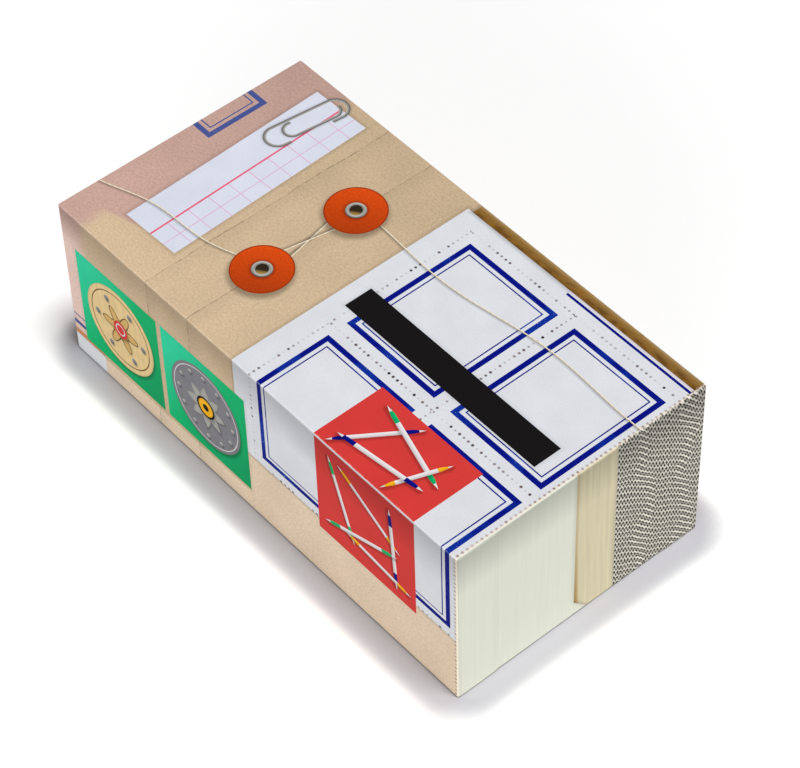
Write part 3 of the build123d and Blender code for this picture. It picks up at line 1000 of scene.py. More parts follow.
def labels(tree, inks, colour, point):
    """Pale gummed labels over the top with the front, and on the back, with their frames."""
    label = add(tree, "Label paper", point, inks.label)
    for low, high in (
        (front(LABEL_FOOT), LABEL_BACK), (back(LABEL_BACK_FOOT), back(LABEL_FOOT)),
    ):
        colour = add(
            tree, "Printed card", colour, point,
            *between(LABEL_LEFT, SHEET_END, low, high), STRAIGHT, label, 0.78,
        )
    for edges in FRAMES:
        point = after(tree, colour, point)
        colour = add(
            tree, "Label frame", colour, point, *between(*edges), inks.navy, inks.worn_navy, 1.0,
        )
    return colour


def left_end_prints(tree, inks, colour, point):
    """What is printed straight on the rosy paper: a label's frame over the left fold, and the
    stripes along the front's foot."""
    colour = add(
        tree, "Label frame", colour, point, *between(*FADED_FRAME), inks.faded_navy,
        inks.faded_navy, 0.0,
    )
    for low, high, hue in (
        (-2.0, 5.8, inks.label), (5.8, 7.5, inks.tan), (9.3, 10.5, inks.faded_navy),
        (12.2, 12.6, inks.faded_navy),
    ):
        colour = add(
            tree, "Printed card", colour, point,
            *between(-HALF_LENGTH - 2, -55.2, front(low), front(high)), STRAIGHT, hue, 0.95,
        )
    return colour


def threads(tree, inks, colour, point):
    """Threads laid over the labels and between the washers."""
    for thread in THREADS:
        point = after(tree, colour, point)
        colour = add(
            tree, "Laid thread", colour, point, (thread.x, thread.y, 0.0),
            (0.0, 0.0, thread.turn), thread.half_length, thread.height, thread.wave_length,
            inks.thread,
        )
    return colour


def washers(tree, inks, colour, point):
    """Round washers with eyelets, over the threads' ends."""
    for middle in WASHERS:
        point = after(tree, colour, point)
        colour = add(
            tree, "Washer", colour, point, middle, WASHER_RADIUS, inks.washer, inks.metal,
        )
    return colour


def stick_panel(tree, inks, colour, point):
    """A red panel over the front fold with loose game sticks on it and a bare paper edge along
    the fold, and the black bar across the labels."""
    panel = add(tree, "Label paper", point, inks.red)
    bands = (inks.navy, inks.green, inks.sunny)
    for number, stick in enumerate(STICKS):
        panel = add(
            tree, "Game stick", panel, point, (stick.x, stick.y, 0.0), (0.0, 0.0, stick.turn),
            stick.half_length, inks.stick, bands[number % len(bands)],
        )
    label = add(tree, "Label paper", point, inks.label)
    for edges, print_there, shade in (
        ((22.0, 53.5, front(16.5), -16.0), panel, 1.0),
        ((22.0, 53.5, front(TOP - 0.8), front(TOP - 0.1)), label, 1.0),
        ((-1.0, 59.0, -7.0, 0.4), inks.black, 0.9),
    ):
        colour = add(
            tree, "Printed card", colour, point, *between(*edges), STRAIGHT, print_there, shade,
        )
    return colour


def discs(tree, inks, colour, point):
    """Two green squares of felt on the front, each with a disc, its rings and its studs. The felt
    carries painted light: lighter and bluer at its upper left, and a painted shade towards its
    lower right."""
    # Each layer's radius, lobes, depth, point, line, ink and shade, then the ring of studs
    turned_wood = add(tree, "Planed wood", point, inks.cream, 0.05)
    for middle, layers, studs in (
        (
            -47.3,
            (
                (12.0, 0.0, 0.0, 0.0, FILLED, turned_wood, 0.5),
                (10.6, 0.0, 0.0, 0.0, 0.3, inks.pencil, 1.0),
                (4.8, 6.0, 1.7, 0.0, FILLED, inks.petal, 0.85),
                (4.8, 6.0, 1.7, 0.0, 0.3, inks.pencil, 1.0),
                (2.5, 0.0, 0.0, 0.0, FILLED, inks.red, 0.5),
                (1.7, 0.0, 0.0, 0.0, 0.35, inks.stick, 1.0),
            ),
            (6.0, 8.3, 0.85, inks.slate),
        ),
        (
            -16.6,
            (
                (12.0, 0.0, 0.0, 0.0, FILLED, inks.slate, 0.5),
                (11.2, 0.0, 0.0, 0.0, 0.25, inks.stick, 1.0),
                (5.2, 8.0, 1.5, 1.0, FILLED, inks.metal, 0.55),
                (3.1, 0.0, 0.0, 0.0, FILLED, inks.black, 0.7),
                (2.5, 0.0, 0.0, 0.0, FILLED, inks.sunny, 1.0),
                (1.0, 0.0, 0.0, 0.0, FILLED, inks.black, 0.8),
            ),
            (12.0, 9.4, 0.6, inks.metal),
        ),
    ):
        centre = (middle, front(21.5), 0.0)
        point = after(tree, colour, point)
        off_centre = add(tree, "VectorMath", point, centre, operation="SUBTRACT")
        slanted = add(tree, "VectorMath", off_centre, (0.8, -0.6, 0.0), operation="DOT_PRODUCT")
        # Painted light on the felt: lighter and bluer towards the upper left, painted shade
        # towards the lower right
        far = add(tree, "MapRange", slanted, -15.0, -1.0, 0.0, 1.0)
        hue = add(tree, "Mix", far, inks.green_in_light, inks.green, data_type="RGBA")
        painted_falloff = add(tree, "MapRange", slanted, 0.0, 18.0, 1.0, 0.72)
        felt = add(tree, "Label paper", point, hue)
        lit = add(tree, "VectorMath", felt, painted_falloff, operation="SCALE")
        colour = add(
            tree, "Printed card", colour, point, centre, (14.6, 14.8, 0.0), STRAIGHT, lit, 0.9,
        )
        for figure in layers:
            colour = add(tree, "Cut-out figure", colour, point, centre, *figure)
        colour = add(tree, "Ring of studs", colour, point, centre, *studs)
    return colour


def back_strip(tree, inks, colour, point):
    """Behind the label: its navy and white edge, then the mottled edge of a strip of wood, which
    runs over the back fold, with painted light on it that grows towards the fold and a painted
    highlight from the fold on."""
    for low, high, hue in ((-1.42, -0.75, inks.navy), (-0.75, 0.0, linear("#EDEAF0"))):
        colour = add(
            tree, "Printed card", colour, point,
            *between(28.0, HALF_LENGTH - 0.6, LABEL_BACK + low, LABEL_BACK + high), STRAIGHT,
            hue, 1.0,
        )
    across = add(tree, "SeparateXYZ", point).outputs["Y"]
    from_label = add(tree, "Math", across, LABEL_BACK, operation="SUBTRACT")
    stretched = add(tree, "Mapping", point, sockets={"Scale": (0.5, 1.0, 1.0)})
    mottle = add(tree, "TexNoise", stretched, sockets={"Scale": 1 / 1.6, "Detail": 4.0})
    wavering = add(tree, "Math", mottle, 2.0, from_label, operation="MULTIPLY_ADD")
    # Painted light across the strip: umber beside the label, lit brown towards the fold and a
    # painted highlight from the fold on
    rising = add(tree, "MapRange", wavering, 1.8, 3.8, 0.0, 1.0)
    lit_strip = add(tree, "Mix", rising, inks.umber, inks.strip_in_light, data_type="RGBA")
    warm = add(tree, "MapRange", mottle, 0.42, 0.62, 0.0, 0.9)
    warmed = add(tree, "Mix", warm, lit_strip, inks.hazel, data_type="RGBA")
    tipping = add(tree, "MapRange", wavering, 3.2, 4.5, 0.0, 0.85)
    edged = add(tree, "Mix", tipping, warmed, inks.strip_highlight, data_type="RGBA")
    patchy = add(tree, "Label paper", point, edged)
    return add(
        tree, "Printed card", colour, point,
        *between(LABEL_LEFT + 1.5, SHEET_END, LABEL_BACK, back(LABEL_BACK_FOOT)), STRAIGHT,
        patchy, 0.7,
    )


def perforated_edge(tree, inks, colour, point):
    """The labels' right edge at the end's fold: a bare margin with a row of holes, turning tan at
    the fold itself."""
    along, across = add(tree, "SeparateXYZ", point).outputs[:2]
    from_edge = add(tree, "Math", along, EDGE_HOLES, operation="SUBTRACT")
    holes = add(tree, "Row of holes", across, from_edge, EDGE_HOLE_PITCH)
    depth = add(tree, "MapRange", holes.outputs["Draw"], 0.0, 1.0, 0.45, 0.95)
    round_hole = add(tree, "MapRange", holes.outputs["Offset"], 0.18, 0.42, 1.0, 0.0)
    hole = add(tree, "Math", round_hole, depth, operation="MULTIPLY")
    margin = add(tree, "MapRange", from_edge, -0.1, 0.3, 0.0, 1.0)
    edged = add(tree, "Mix", margin, colour, linear("#E9DCCB"), data_type="RGBA")
    holed = add(tree, "Mix", hole, edged, linear("#93746B"), data_type="RGBA")
    tan_at_edge = add(tree, "MapRange", from_edge, 0.4, 0.65, 0.0, 0.55)
    return add(tree, "Mix", tan_at_edge, holed, linear("#B89A72"), data_type="RGBA")


# The prints on the kraft paper, each over the last
PRINTS = (
    creases, ledger_and_clip, labels, left_end_prints, threads, washers, stick_panel, discs,
    back_strip, perforated_edge,
)


def fold_shade_and_rubbing(tree, colour, point, depth):
    """The sides carry a painted shade just under the fold, a little less dark right at the fold,
    and the print on the fold itself is rubbed.
    """
    below = add(tree, "Math", depth, 0.3, operation="GREATER_THAN")
    # Painted shade under the fold: darkest about a millimetre down, a little lighter right at the
    # fold, gone by 12.5 mm
    shade = add(tree, "MapRange", depth, 1.0, 12.5, 0.65, 1.0)
    wear_and_fold_shade = add(tree, "MapRange", depth, 0.4, 1.0, 0.12, 0.0)
    soft = add(tree, "Math", shade, wear_and_fold_shade, operation="ADD")
    fold = add(tree, "Mix", below, 1.0, soft, data_type="FLOAT")
    shaded = add(tree, "VectorMath", colour, fold, operation="SCALE")
    on_fold = add(tree, "Math", depth, 0.17, 0.15, operation="COMPARE")
    rubbing = add(tree, "TexNoise", point, sockets={"Scale": 1 / 1.5, "Detail": 4.0})
    strength = add(tree, "MapRange", rubbing, 0.4, 0.7, 0.0, 0.25)
    rubbed = add(tree, "Math", on_fold, strength, operation="MULTIPLY")
    return add(tree, "Mix", rubbed, shaded, linear("#EFE9E0"), data_type="RGBA")


def cover_sheet(tree, inks):
    """The printed sheet as it lies on the lid: its colour, and its relief. The front and back
    are unfolded across the box, and the ends along it."""
    millimetres = in_millimetres(tree)
    x, y, z = add(tree, "SeparateXYZ", millimetres).outputs
    depth = add(tree, "Math", TOP, z, operation="SUBTRACT")
    side_y = add(tree, "Math", y, operation="SIGN")
    side_x = add(tree, "Math", x, operation="SIGN")
    unfolded_y = add(tree, "Math", depth, side_y, y, operation="MULTIPLY_ADD")
    unfolded_x = add(tree, "Math", depth, side_x, x, operation="MULTIPLY_ADD")
    reach = add(tree, "Math", x, operation="ABSOLUTE")
    on_end = add(tree, "Math", reach, END_FACE, operation="GREATER_THAN")
    along_sides = add(tree, "CombineXYZ", x, unfolded_y)
    down_ends = add(tree, "CombineXYZ", unfolded_x, y)
    point = add(tree, "Mix", on_end, along_sides, down_ends, data_type="VECTOR")

    paper = bare_paper(tree, inks, point)
    colour = paper
    for lay in PRINTS:
        point = after(tree, colour, point)
        colour = lay(tree, inks, colour, point)

    end = right_end(tree, inks, add(tree, "CombineXYZ", y, z))
    on_right = add(tree, "Math", x, END_FACE, operation="GREATER_THAN")
    whole = add(tree, "Mix", on_right, colour, end, data_type="RGBA")
    # Painted shade under the fold on every side, and rubbing on the fold itself
    wear_and_fold_shade = fold_shade_and_rubbing(tree, whole, point, depth)

    # The edges that are turned in, behind the board, are plain kraft paper
    from_side = add(tree, "Math", y, operation="ABSOLUTE")
    in_x = add(tree, "Math", reach, HALF_LENGTH - BOARD_FACE, operation="LESS_THAN")
    in_y = add(tree, "Math", from_side, HALF_WIDTH - BOARD_FACE, operation="LESS_THAN")
    under = add(tree, "Math", depth, BOARD_FACE, operation="GREATER_THAN")
    in_plan = add(tree, "Math", in_x, in_y, operation="MULTIPLY")
    turned_in = add(tree, "Math", in_plan, under, operation="MULTIPLY")
    bare = add(tree, "Kraft paper", millimetres, inks.peach)
    colour = add(tree, "Mix", turned_in, wear_and_fold_shade, bare, data_type="RGBA")
    return colour, paper.outputs["Height"]


def right_end(tree, inks, point):
    """The right end: pale painted board, a flat stick on it and a strip of woven cloth."""
    painted = add(tree, "Planed wood", point, inks.painted, 0.02)
    stick_left, stick_right, stick_foot, slant = -1.8, 9.6, 4.4, 1.1
    stick_low = stick_foot + slant * stick_left
    place, half = between(stick_left, stick_right, stick_low, TOP + 30)
    across, up = add(tree, "SeparateXYZ", point).outputs[:2]
    risen = add(tree, "Math", across, slant, up, operation="MULTIPLY_ADD")
    sheared = add(tree, "CombineXYZ", across, risen)
    local = add(tree, "Mapping", sheared, place, vector_type="TEXTURE")
    sideways, upwards = add(tree, "SeparateXYZ", local).outputs[:2]
    wood = add(tree, "Planed wood", point, inks.wood, 0.07)
    from_foot = add(tree, "Math", upwards, half[1], operation="ADD")
    from_left = add(tree, "Math", sideways, half[0], operation="ADD")
    # Painted shadow along the stick's left edge, wider and stronger towards its foot
    shade_width = add(tree, "MapRange", from_foot, 0.0, 22.0, 1.9, 1.1)
    inward = add(tree, "Math", from_left, shade_width, operation="DIVIDE")
    strength = add(tree, "MapRange", from_foot, 0.0, 26.0, 0.95, 0.4)
    edge = add(
        tree, "MapRange", inward, 0.25, 1.0, strength, 0.0, interpolation_type="SMOOTHSTEP",
    )
    # Painted shade across the stick's foot
    foot = add(
        tree, "MapRange", from_foot, 0.0, 1.6, 0.72, 1.0, interpolation_type="SMOOTHSTEP",
    )
    tan_at_edge = add(tree, "Mix", edge, wood, inks.wood_edge_shade, data_type="RGBA")
    shaded = add(tree, "VectorMath", tan_at_edge, foot, operation="SCALE")
    colour = add(tree, "Printed card", painted, sheared, place, half, STRAIGHT, shaded, 0.86)
    cloth = add(tree, "Woven cloth", point, inks.light_yarn, inks.dark_yarn)
    colour = add(
        tree, "Printed card", colour, point,
        *between(stick_right, 2 * HALF_WIDTH, -5, TOP + 10), STRAIGHT, cloth, 0.85,
    )
    return add(
        tree, "Printed card", colour, point,
        *between(-HALF_WIDTH - 1, -HALF_WIDTH + 0.3, -5, TOP + 10), STRAIGHT,
        linear("#EDE6D2"), 0.95,
    )


class BOX_OT_cover(bpy.types.Operator):
    """Prints the lid's covering paper"""

    bl_idname = "box.cover"
    bl_label = "Printed cover"

    def execute(self, context):
        # Offset-printed wood-free paper with a matt varnish: even colour, crisp ink edges and a
        # soft sheen without reflections
        material = new_material("Offset-printed covering paper", "lid_wrap")
        tree = material.node_tree
        colour, relief = cover_sheet(tree, context.scene.cover_inks)
        paper_surface(tree, colour, relief, 0.000004, 0.62, gloss=0.04)
        return {"FINISHED"}


class BOX_OT_tray(bpy.types.Operator):
    """Covers the tray with kraft paper and pastes on its bottom sheet"""

    bl_idname = "box.tray"
    bl_label = "Tray papers"

    def execute(self, context):
        # Uncoated kraft paper, machine made: brown fibres and flecks, quite matt
        stock = context.scene.stock_colours
        for node, tone in (
            ("tray_wrap", stock.tray_paper), ("tray_bottom_sheet", stock.foot_paper),
        ):
            material = new_material(f"Uncoated kraft paper {node}", node)
            tree = material.node_tree
            paper = add(tree, "Kraft paper", in_millimetres(tree), tone)
            paper_surface(tree, paper, paper.outputs["Height"], 0.00003, 0.8)
        return {"FINISHED"}


class BOX_OT_boards(bpy.types.Operator):
    """Gives the two board shells and their corner stays their stock"""

    bl_idname = "box.boards"
    bl_label = "Boards and stays"

    def execute(self, context):
        stock = context.scene.stock_colours
        for node in ("lid_board", "tray_board"):
            self.grey_board(node, stock.grey_board)
        for node in ("lid_corner_stays", "tray_corner_stays"):
            self.gummed_tape(node, stock.tape)
        return {"FINISHED"}

    def grey_board(self, node, tone):
        """Grey board, pressed from waste paper: clouded, with pale and dark scraps of fibre."""
        material = new_material(f"Pressed grey board {node}", node)
        tree = material.node_tree
        point = in_millimetres(tree)
        clouds = add(tree, "TexNoise", point, sockets={"Scale": 1 / 6, "Detail": 4.0})
        fibre = add(tree, "TexNoise", point, sockets={"Scale": 1 / 0.5, "Detail": 5.0})
        both = add(tree, "Math", clouds, fibre, operation="ADD")
        level = add(tree, "MapRange", both, 0.65, 1.35, 0.84, 1.16)
        board = add(tree, "VectorMath", tone, level, operation="SCALE")
        cells = add(tree, "TexVoronoi", point, sockets={"Scale": 1 / 1.4})
        scrap = add(tree, "Math", cells, 0.16, operation="LESS_THAN")
        one_draw, other_draw = add(tree, "SeparateXYZ", cells.outputs["Color"]).outputs[:2]
        pale = add(tree, "Math", one_draw, 0.75, operation="GREATER_THAN")
        dark = add(tree, "Math", other_draw, 0.8, operation="GREATER_THAN")
        colour = board
        for which, shade in ((pale, "#D8D3C8"), (dark, "#5E584F")):
            there = add(tree, "Math", scrap, which, operation="MULTIPLY")
            faint = add(tree, "Math", there, 0.5, operation="MULTIPLY")
            colour = add(tree, "Mix", faint, colour, linear(shade), data_type="RGBA")
        paper_surface(tree, colour, fibre, 0.00005, 0.88)

    def gummed_tape(self, node, tone):
        """Gummed kraft tape: brown, faintly ribbed along its length, with a dull glaze."""
        material = new_material(f"Gummed kraft tape {node}", node)
        tree = material.node_tree
        point = in_millimetres(tree)
        paper = add(tree, "Kraft paper", point, tone)
        risen = add(tree, "SeparateXYZ", point).outputs["Z"]
        ribs = add(tree, "Math", risen, 0.35, operation="PINGPONG")
        height = add(tree, "Math", paper.outputs["Height"], ribs, operation="ADD")
        paper_surface(tree, paper, height, 0.00003, 0.5)


class BOX_OT_tiles(bpy.types.Operator):
    """Prints the tiles, two of each picture, and presses their edges round"""

    bl_idname = "box.tiles"
    bl_label = "Picture tiles"

    def execute(self, context):
        inks, stock = context.scene.cover_inks, context.scene.stock_colours
        hues = (
            inks.green, inks.red, inks.sunny, inks.slate, inks.navy, inks.cream, inks.washer,
            inks.stick,
        )
        count = len(hues)
        # The left and the right stack each hold every picture once, in orders of their own
        for stack, (step, first) in {"left": (7, 3), "right": (11, 5)}.items():
            for level in range(PICTURES):
                number = (step * level + first) % PICTURES
                again = number // count
                ground, shape = number % count, (number + 3 + again) % count
                middle, heart = (shape + 3) % count, (ground + 5 + again) % count
                picture = {
                    "Ground": hues[ground],
                    "Shape": hues[shape],
                    "Middle": hues[middle],
                    "Heart": hues[heart],
                    "Lobes": 3.0 + number % 10,
                    "Depth": 0.45 + 0.4 * (number % 4),
                    "Pointed": float(number % 2),
                    "Studs": 4.0 + number % 5,
                    "Paper": stock.tile_paper,
                    "Core": stock.tile_core,
                    "Line": inks.navy,
                }
                self.tile(f"tile_{stack}_{level + 1:02d}", picture)
        return {"FINISHED"}

    def tile(self, node, picture):
        """Die-cut board between two printed papers, its cut edge pressed round."""
        low, high = (corner * PER_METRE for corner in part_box(node))
        middle = ((low.x + high.x) / 2, (low.y + high.y) / 2, low.z)
        # Art paper laminated to die-cut grey board: even ink under a dull varnish, and a bare
        # fibrous edge
        material = new_material(f"Laminated tile board {node}", node)
        tree = material.node_tree
        facing = add(tree, "TexCoord").outputs["Normal"]
        point = add(tree, "VectorMath", in_millimetres(tree), middle, operation="SUBTRACT")
        look = {"Point": point, "Facing": facing, "Thickness": high.z - low.z}
        colour = add(tree, "Picture tile", sockets={**look, **picture})
        grain = add(tree, "TexNoise", point, sockets={"Scale": 1 / 0.6, "Detail": 2.0})
        paper_surface(tree, colour, grain, 0.00001, 0.45, gloss=0.25)
        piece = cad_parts[node]
        weld = piece.modifiers.new("Joined facets", "WELD")
        weld.merge_threshold = 0.000001
        bevel = piece.modifiers.new("Pressed edge", "BEVEL")
        bevel.width = 0.00015
        bevel.segments = 2
        bevel.limit_method = "ANGLE"
        bevel.angle_limit = math.radians(40)


class BOX_OT_leaflet(bpy.types.Operator):
    """Folds the rules leaflet from one sheet and prints it"""

    bl_idname = "box.leaflet"
    bl_label = "Folded leaflet"

    def execute(self, context):
        sizes = context.scene.leaflet_sizes
        piece = self.sheet(context, sizes)
        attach(piece, "leaflet")
        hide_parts("rules_leaflet")
        put_on(piece, self.printed(context))
        return {"FINISHED"}

    def sheet(self, context, sizes):
        """The folded sheet, as a profile carried along the box.

        The two upper panels spring up in proportion to the distance from their own fold, a
        little more towards one end, and the whole sheet has a ripple of sin x sin.
        """
        ripple_along, ripple_across = 0.013, 0.011
        low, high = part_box("rules_leaflet")
        y, z, lift = self.profile(high.y, high.z - low.z, sizes.paper)
        x = np.linspace(low.x, high.x, LENGTH_POINTS)
        twist = 0.9 + 0.2 * (x / high.x)
        ripple = np.outer(np.sin(x / ripple_along), np.sin(y / ripple_across + 0.6))
        risen = np.outer(twist, lift) * sizes.spring + ripple * sizes.ripple
        height = low.z + sizes.paper / 2 + z + risen
        points, ring = self.both_faces(x, y, height, sizes.paper)
        mesh = bpy.data.meshes.new("rules_leaflet_folded")
        mesh.from_pydata(points.tolist(), [], self.skin(LENGTH_POINTS, ring).tolist())
        self.lay_flat(mesh, x - low.x, y, z, ring)
        mesh.shade_smooth()
        mesh.set_sharp_from_angle(angle=math.radians(50))
        made = bpy.data.objects.new("rules_leaflet_folded", mesh)
        context.scene.collection.objects.link(made)
        return made

    def profile(self, width, thickness, paper):
        """The middle line of the sheet across the box, and how much each point springs up.

        It runs to the front and back in three panels, joined by half circles whose diameter
        is the panels' spacing. Width is from the middle of the box to the outside of a fold.
        """
        spacing = (thickness - paper) / 2
        reach = width - (spacing + paper) / 2
        across = np.linspace(-reach, reach, PANEL_POINTS)
        bend = np.linspace(-0.5, 0.5, FOLD_POINTS)[1:-1] * np.pi
        y = np.concatenate((
            across, reach + np.cos(bend) * spacing / 2, across[::-1],
            -reach - np.cos(bend) * spacing / 2, across,
        ))
        turn = (1 + np.sin(bend)) * spacing / 2
        level = np.zeros(PANEL_POINTS)
        z = np.concatenate((level, turn, level + spacing, spacing + turn, level + 2 * spacing))
        share = (across + reach) / (2 * reach)
        raised = 0.3  # the upper fold's share of the spring; the free edge has all of it
        lift = np.concatenate((
            level, np.zeros(bend.size), raised * (1 - share[::-1]),
            np.full(bend.size, raised), raised + (1 - raised) * share ** 1.4,
        ))
        return y, z, lift

    def both_faces(self, x, y, height, paper):
        """The sheet's two faces, half a paper's thickness along the profile's normal to either
        side of its middle line: a closed ring of points at each place along the box."""
        depth = np.broadcast_to(y, height.shape)
        slope_y, slope_z = np.gradient(depth, axis=1), np.gradient(height, axis=1)
        length = np.hypot(slope_y, slope_z)
        normal_y, normal_z = -slope_z / length, slope_y / length
        faces_y = [depth + side * normal_y * paper / 2 for side in (1, -1)]
        faces_z = [height + side * normal_z * paper / 2 for side in (1, -1)]
        ring_y = np.concatenate((faces_y[0], faces_y[1][:, ::-1]), axis=1)
        ring_z = np.concatenate((faces_z[0], faces_z[1][:, ::-1]), axis=1)
        ring = ring_y.shape[1]
        return np.stack((np.repeat(x, ring), ring_y.ravel(), ring_z.ravel()), axis=1), ring

    def skin(self, rows, ring):
        """The four-sided faces between one ring of points and the next, and over both ends."""
        row, spot = np.meshgrid(np.arange(rows - 1), np.arange(ring), indexing="ij")
        start, after_it = row * ring + spot, row * ring + (spot + 1) % ring
        sides = np.stack((start, start + ring, after_it + ring, after_it), axis=-1)
        one = np.arange(ring // 2 - 1)
        other = ring - 1 - one
        near_end = np.stack((one, one + 1, other - 1, other), axis=-1)
        far_end = near_end[:, ::-1] + (rows - 1) * ring
        return np.concatenate((sides.reshape(-1, 4), near_end, far_end))

    def lay_flat(self, mesh, x, y, z, ring):
        """A UV map of the sheet unfolded: its upper face, then its lower one beyond it."""
        developed = np.concatenate(((0.0,), np.cumsum(np.hypot(np.diff(y), np.diff(z)))))
        along_sheet = np.concatenate((developed, 2 * SHEET_SPAN - developed[::-1]))
        flat = np.stack((
            np.repeat(x, ring) / SHEET_SPAN, np.tile(along_sheet, x.size) / (2 * SHEET_SPAN),
        ), axis=1)
        layer = mesh.uv_layers.new(name="Flat sheet")
        corners = np.empty(len(mesh.loops), dtype=np.int32)
        mesh.loops.foreach_get("vertex_index", corners)
        layer.data.foreach_set("uv", flat[corners].ravel())

    def printed(self, context):
        """Both sides of the flat sheet: bars for text, a heading and a plan of laid-out tiles,
        in millimetres from one corner of the sheet, the reverse beyond its own width."""
        inks, stock = context.scene.cover_inks, context.scene.stock_colours
        low, high = (corner * PER_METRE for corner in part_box("rules_leaflet"))
        length, panel = high.x - low.x, high.y - low.y
        # Uncoated offset paper, folded by machine: soft white and quite matt, its ink dull
        material = new_material("Uncoated leaflet paper")
        tree = material.node_tree
        flat = add(tree, "UVMap", uv_map="Flat sheet")
        span = SHEET_SPAN * PER_METRE
        point = add(tree, "VectorMath", flat, (span, 2 * span, 0.0), operation="MULTIPLY")
        paper = add(tree, "Label paper", point, stock.leaflet)
        colour = paper
        grey = linear("#6E6D70")
        margin, gutter = 6.0, 3.0
        column = (length - 2 * margin - gutter) / 2
        panels = [number * panel for number in range(2)]
        panels += [2 * span - (number + 1) * panel for number in range(3)]
        for foot in panels:
            for left in (margin, margin + column + gutter):
                block = between(left, left + column, foot + margin, foot + panel - margin)
                colour = add(tree, "Bar rows", colour, point, *block, grey)
            point = after(tree, colour, point)
        foot = 2 * panel
        for edges, hue in (
            ((margin, 0.62 * length, foot + 40, foot + 49), inks.navy),
            ((margin, 0.45 * length, foot + 33, foot + 36.5), inks.red),
        ):
            colour = add(
                tree, "Printed card", colour, point, *between(*edges), STRAIGHT, hue, 1.0,
            )
        block = between(margin, 0.62 * length, foot + margin, foot + 29)
        colour = add(tree, "Bar rows", colour, point, *block, grey)
        point = after(tree, colour, point)
        colour = self.tile_plan(tree, colour, point, 0.69 * length, foot + margin, inks)
        paper_surface(tree, colour, paper, 0.00001, 0.85)
        return material

    def tile_plan(self, tree, colour, point, left, foot, inks):
        """A plan of tiles laid out in a grid, with a few of them turned up."""
        pitch, columns, rows = 8.2, 4, 5
        middle, half = between(left, left + columns * pitch, foot, foot + rows * pitch)
        card = add(tree, "Printed card", colour, point, middle, half, STRAIGHT, colour, 1.0)
        inside = add(tree, "Math", card.outputs["Distance"], 0.0, operation="LESS_THAN")
        local = add(tree, "VectorMath", point, (left, foot, 0.0), operation="SUBTRACT")
        cell = add(tree, "VectorMath", local, (pitch,) * 3, operation="SNAP")
        centred = add(tree, "VectorMath", local, cell, operation="SUBTRACT")
        spot = add(tree, "VectorMath", centred, (pitch / 2, pitch / 2, 0), operation="SUBTRACT")
        chance = add(tree, "TexWhiteNoise", cell, noise_dimensions="3D")
        turned = add(tree, "Math", chance, 0.72, operation="GREATER_THAN")
        face = add(tree, "Mix", turned, inks.slate, inks.green, data_type="RGBA")
        square = add(
            tree, "Printed card", colour, spot, STRAIGHT, (3.6, 3.6, 0.0), STRAIGHT, face, 1.0,
        )
        return add(tree, "Mix", inside, colour, square, data_type="RGBA")


# Each lamp's way round from the camera, its elevation and its breadth, in degrees
LAMPS = {"key": (48.6, 77.2, 17.0), "fill": (-14.1, 7.0, 40.0)}
# How far the photograph's middle lies beside the box's foot and over it, and the floor's side,
# in metres
AIM_RIGHT = 0.00479
AIM_UP = 0.01132
FLOOR_SIDE = 6.0


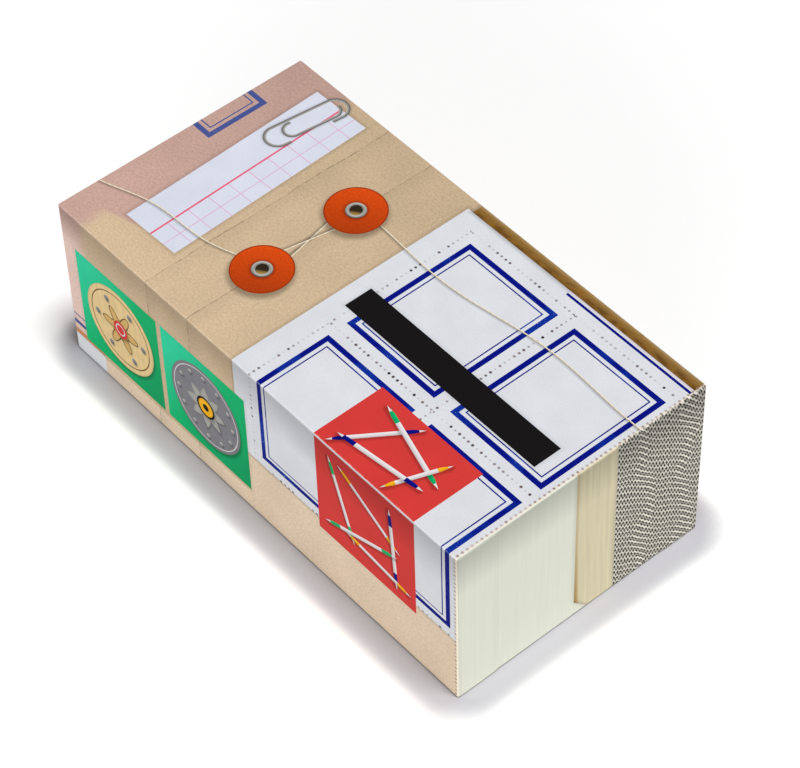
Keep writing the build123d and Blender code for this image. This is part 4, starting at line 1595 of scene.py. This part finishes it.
class BOX_OT_stage(bpy.types.Operator):
    """Sets up the floor, the lamps, the sky and the camera"""

    bl_idname = "box.stage"
    bl_label = "Floor, lamps and camera"

    def execute(self, context):
        stage = context.scene.box_stage
        context.scene.view_settings.view_transform = "Standard"
        self.camera(context, stage)
        self.floor(context, stage)
        self.sky(context, stage)
        for name, angles in LAMPS.items():
            beside, elevation, breadth = (math.radians(angle) for angle in angles)
            toward = self.away(stage.azimuth + beside, elevation)
            self.lamp(context, name.capitalize() + " light", toward, breadth, getattr(stage, name))
        return {"FINISHED"}

    def away(self, azimuth, elevation):
        """Unit direction from the box to something at this azimuth and elevation."""
        flat = math.cos(elevation)
        return Vector((
            math.sin(azimuth) * flat, -math.cos(azimuth) * flat, math.sin(elevation),
        ))

    def camera(self, context, stage):
        """A long lens at the photograph's angle, leaning a little."""
        backward = self.away(stage.azimuth, stage.elevation)
        level = Vector((0, 0, 1)).cross(backward).normalized()
        lean = Matrix.Rotation(stage.roll, 3, backward)
        right = lean @ level
        upward = lean @ backward.cross(level)
        data = bpy.data.cameras.new("Camera")
        data.lens = stage.lens
        data.sensor_width = 36.0
        made = bpy.data.objects.new("Camera", data)
        aim = right * AIM_RIGHT + upward * AIM_UP
        turned = Matrix((right, upward, backward)).transposed().to_4x4()
        made.matrix_world = Matrix.Translation(backward * stage.distance + aim) @ turned
        context.scene.collection.objects.link(made)
        context.scene.camera = made

    def floor(self, context, stage):
        """A white table top, whiter still where it is looked at, so that it meets the sky, with a
        painted shade, darker and a little blue, within reach of what stands on it."""
        half = FLOOR_SIDE / 2
        corners = [(-half, -half, 0), (half, -half, 0), (half, half, 0), (-half, half, 0)]
        mesh = bpy.data.meshes.new("Floor")
        mesh.from_pydata(corners, [], [(0, 1, 2, 3)])
        made = bpy.data.objects.new("Floor", mesh)
        context.scene.collection.objects.link(made)
        material = new_material("White laminate table")
        tree = material.node_tree
        seen = self.looked_at(tree)
        plain = add(tree, "BsdfDiffuse", stage.floor)
        # Painted contact shade: the seen floor darkens where ambient occlusion finds the box near
        hollow = add(
            tree, "AmbientOcclusion", samples=16, sockets={"Distance": stage.contact},
        )
        open_share = add(tree, "MapRange", hollow.outputs["AO"], 0.78, 1.0, 0.0, 1.0)
        clear = add(tree, "Math", open_share, 2.4, operation="POWER")
        shade = add(
            tree, "Mix", clear, linear("#C3C2C7"), linear("#FFFFFF"), data_type="RGBA",
        )
        white = add(tree, "BsdfDiffuse", shade)
        add(tree, "OutputMaterial", add(tree, "MixShader", seen, plain, white))
        put_on(made, material)

    def looked_at(self, tree):
        """One for rays from the camera, a reflection or a glass, and nought for light."""
        path = add(tree, "LightPath")
        either = add(
            tree, "Math", path.outputs["Is Camera Ray"], path.outputs["Is Glossy Ray"],
            operation="MAXIMUM",
        )
        return add(
            tree, "Math", either, path.outputs["Is Transmission Ray"], operation="MAXIMUM",
        )

    def sky(self, context, stage):
        """White all round, at full strength only where it is looked at."""
        world = bpy.data.worlds.new("Studio")
        world.use_nodes = True
        tree = world.node_tree
        tree.nodes.clear()
        white = (1.0, 1.0, 1.0, 1.0)
        light = add(tree, "Background", white, stage.sky)
        shown = add(tree, "Background", white, 1.0)
        mixed = add(tree, "MixShader", self.looked_at(tree), light, shown)
        add(tree, "OutputWorld", mixed)
        context.scene.world = world

    def lamp(self, context, name, toward, breadth, strength):
        """A far lamp of some breadth, as a large softbox is."""
        data = bpy.data.lights.new(name, "SUN")
        data.angle = breadth
        data.energy = strength
        made = bpy.data.objects.new(name, data)
        made.rotation_euler = toward.to_track_quat("Z", "Y").to_euler()
        context.scene.collection.objects.link(made)


class BOX_PT_pieces(bpy.types.Panel):
    """Lists the steps that dress the box"""

    bl_label = "Card box"
    bl_idname = "BOX_PT_pieces"
    bl_space_type = "VIEW_3D"
    bl_region_type = "UI"
    bl_category = "Card box"

    def draw(self, context):
        for step in STEPS:
            self.layout.operator(step.bl_idname)


SETTINGS = {
    "cover_inks": CoverInks, "stock_colours": StockColours, "leaflet_sizes": LeafletSizes,
    "box_stage": StageSettings,
}
STEPS = (
    BOX_OT_stage, BOX_OT_cover, BOX_OT_tray, BOX_OT_boards, BOX_OT_tiles, BOX_OT_leaflet,
)
CLASSES = (*SETTINGS.values(), *STEPS, BOX_PT_pieces)


def register():
    for each in CLASSES:
        bpy.utils.register_class(each)
    for name, settings in SETTINGS.items():
        setattr(bpy.types.Scene, name, bpy.props.PointerProperty(type=settings))


def unregister():
    for name in SETTINGS:
        delattr(bpy.types.Scene, name)
    for each in reversed(CLASSES):
        bpy.utils.unregister_class(each)


def main():
    """Registers the add-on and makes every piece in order."""
    register()
    for make_group in GROUP_MAKERS:
        make_group()
    for step in STEPS:
        family, name = step.bl_idname.split(".")
        getattr(getattr(bpy.ops, family), name)()


if __name__ == "__main__":
    main()
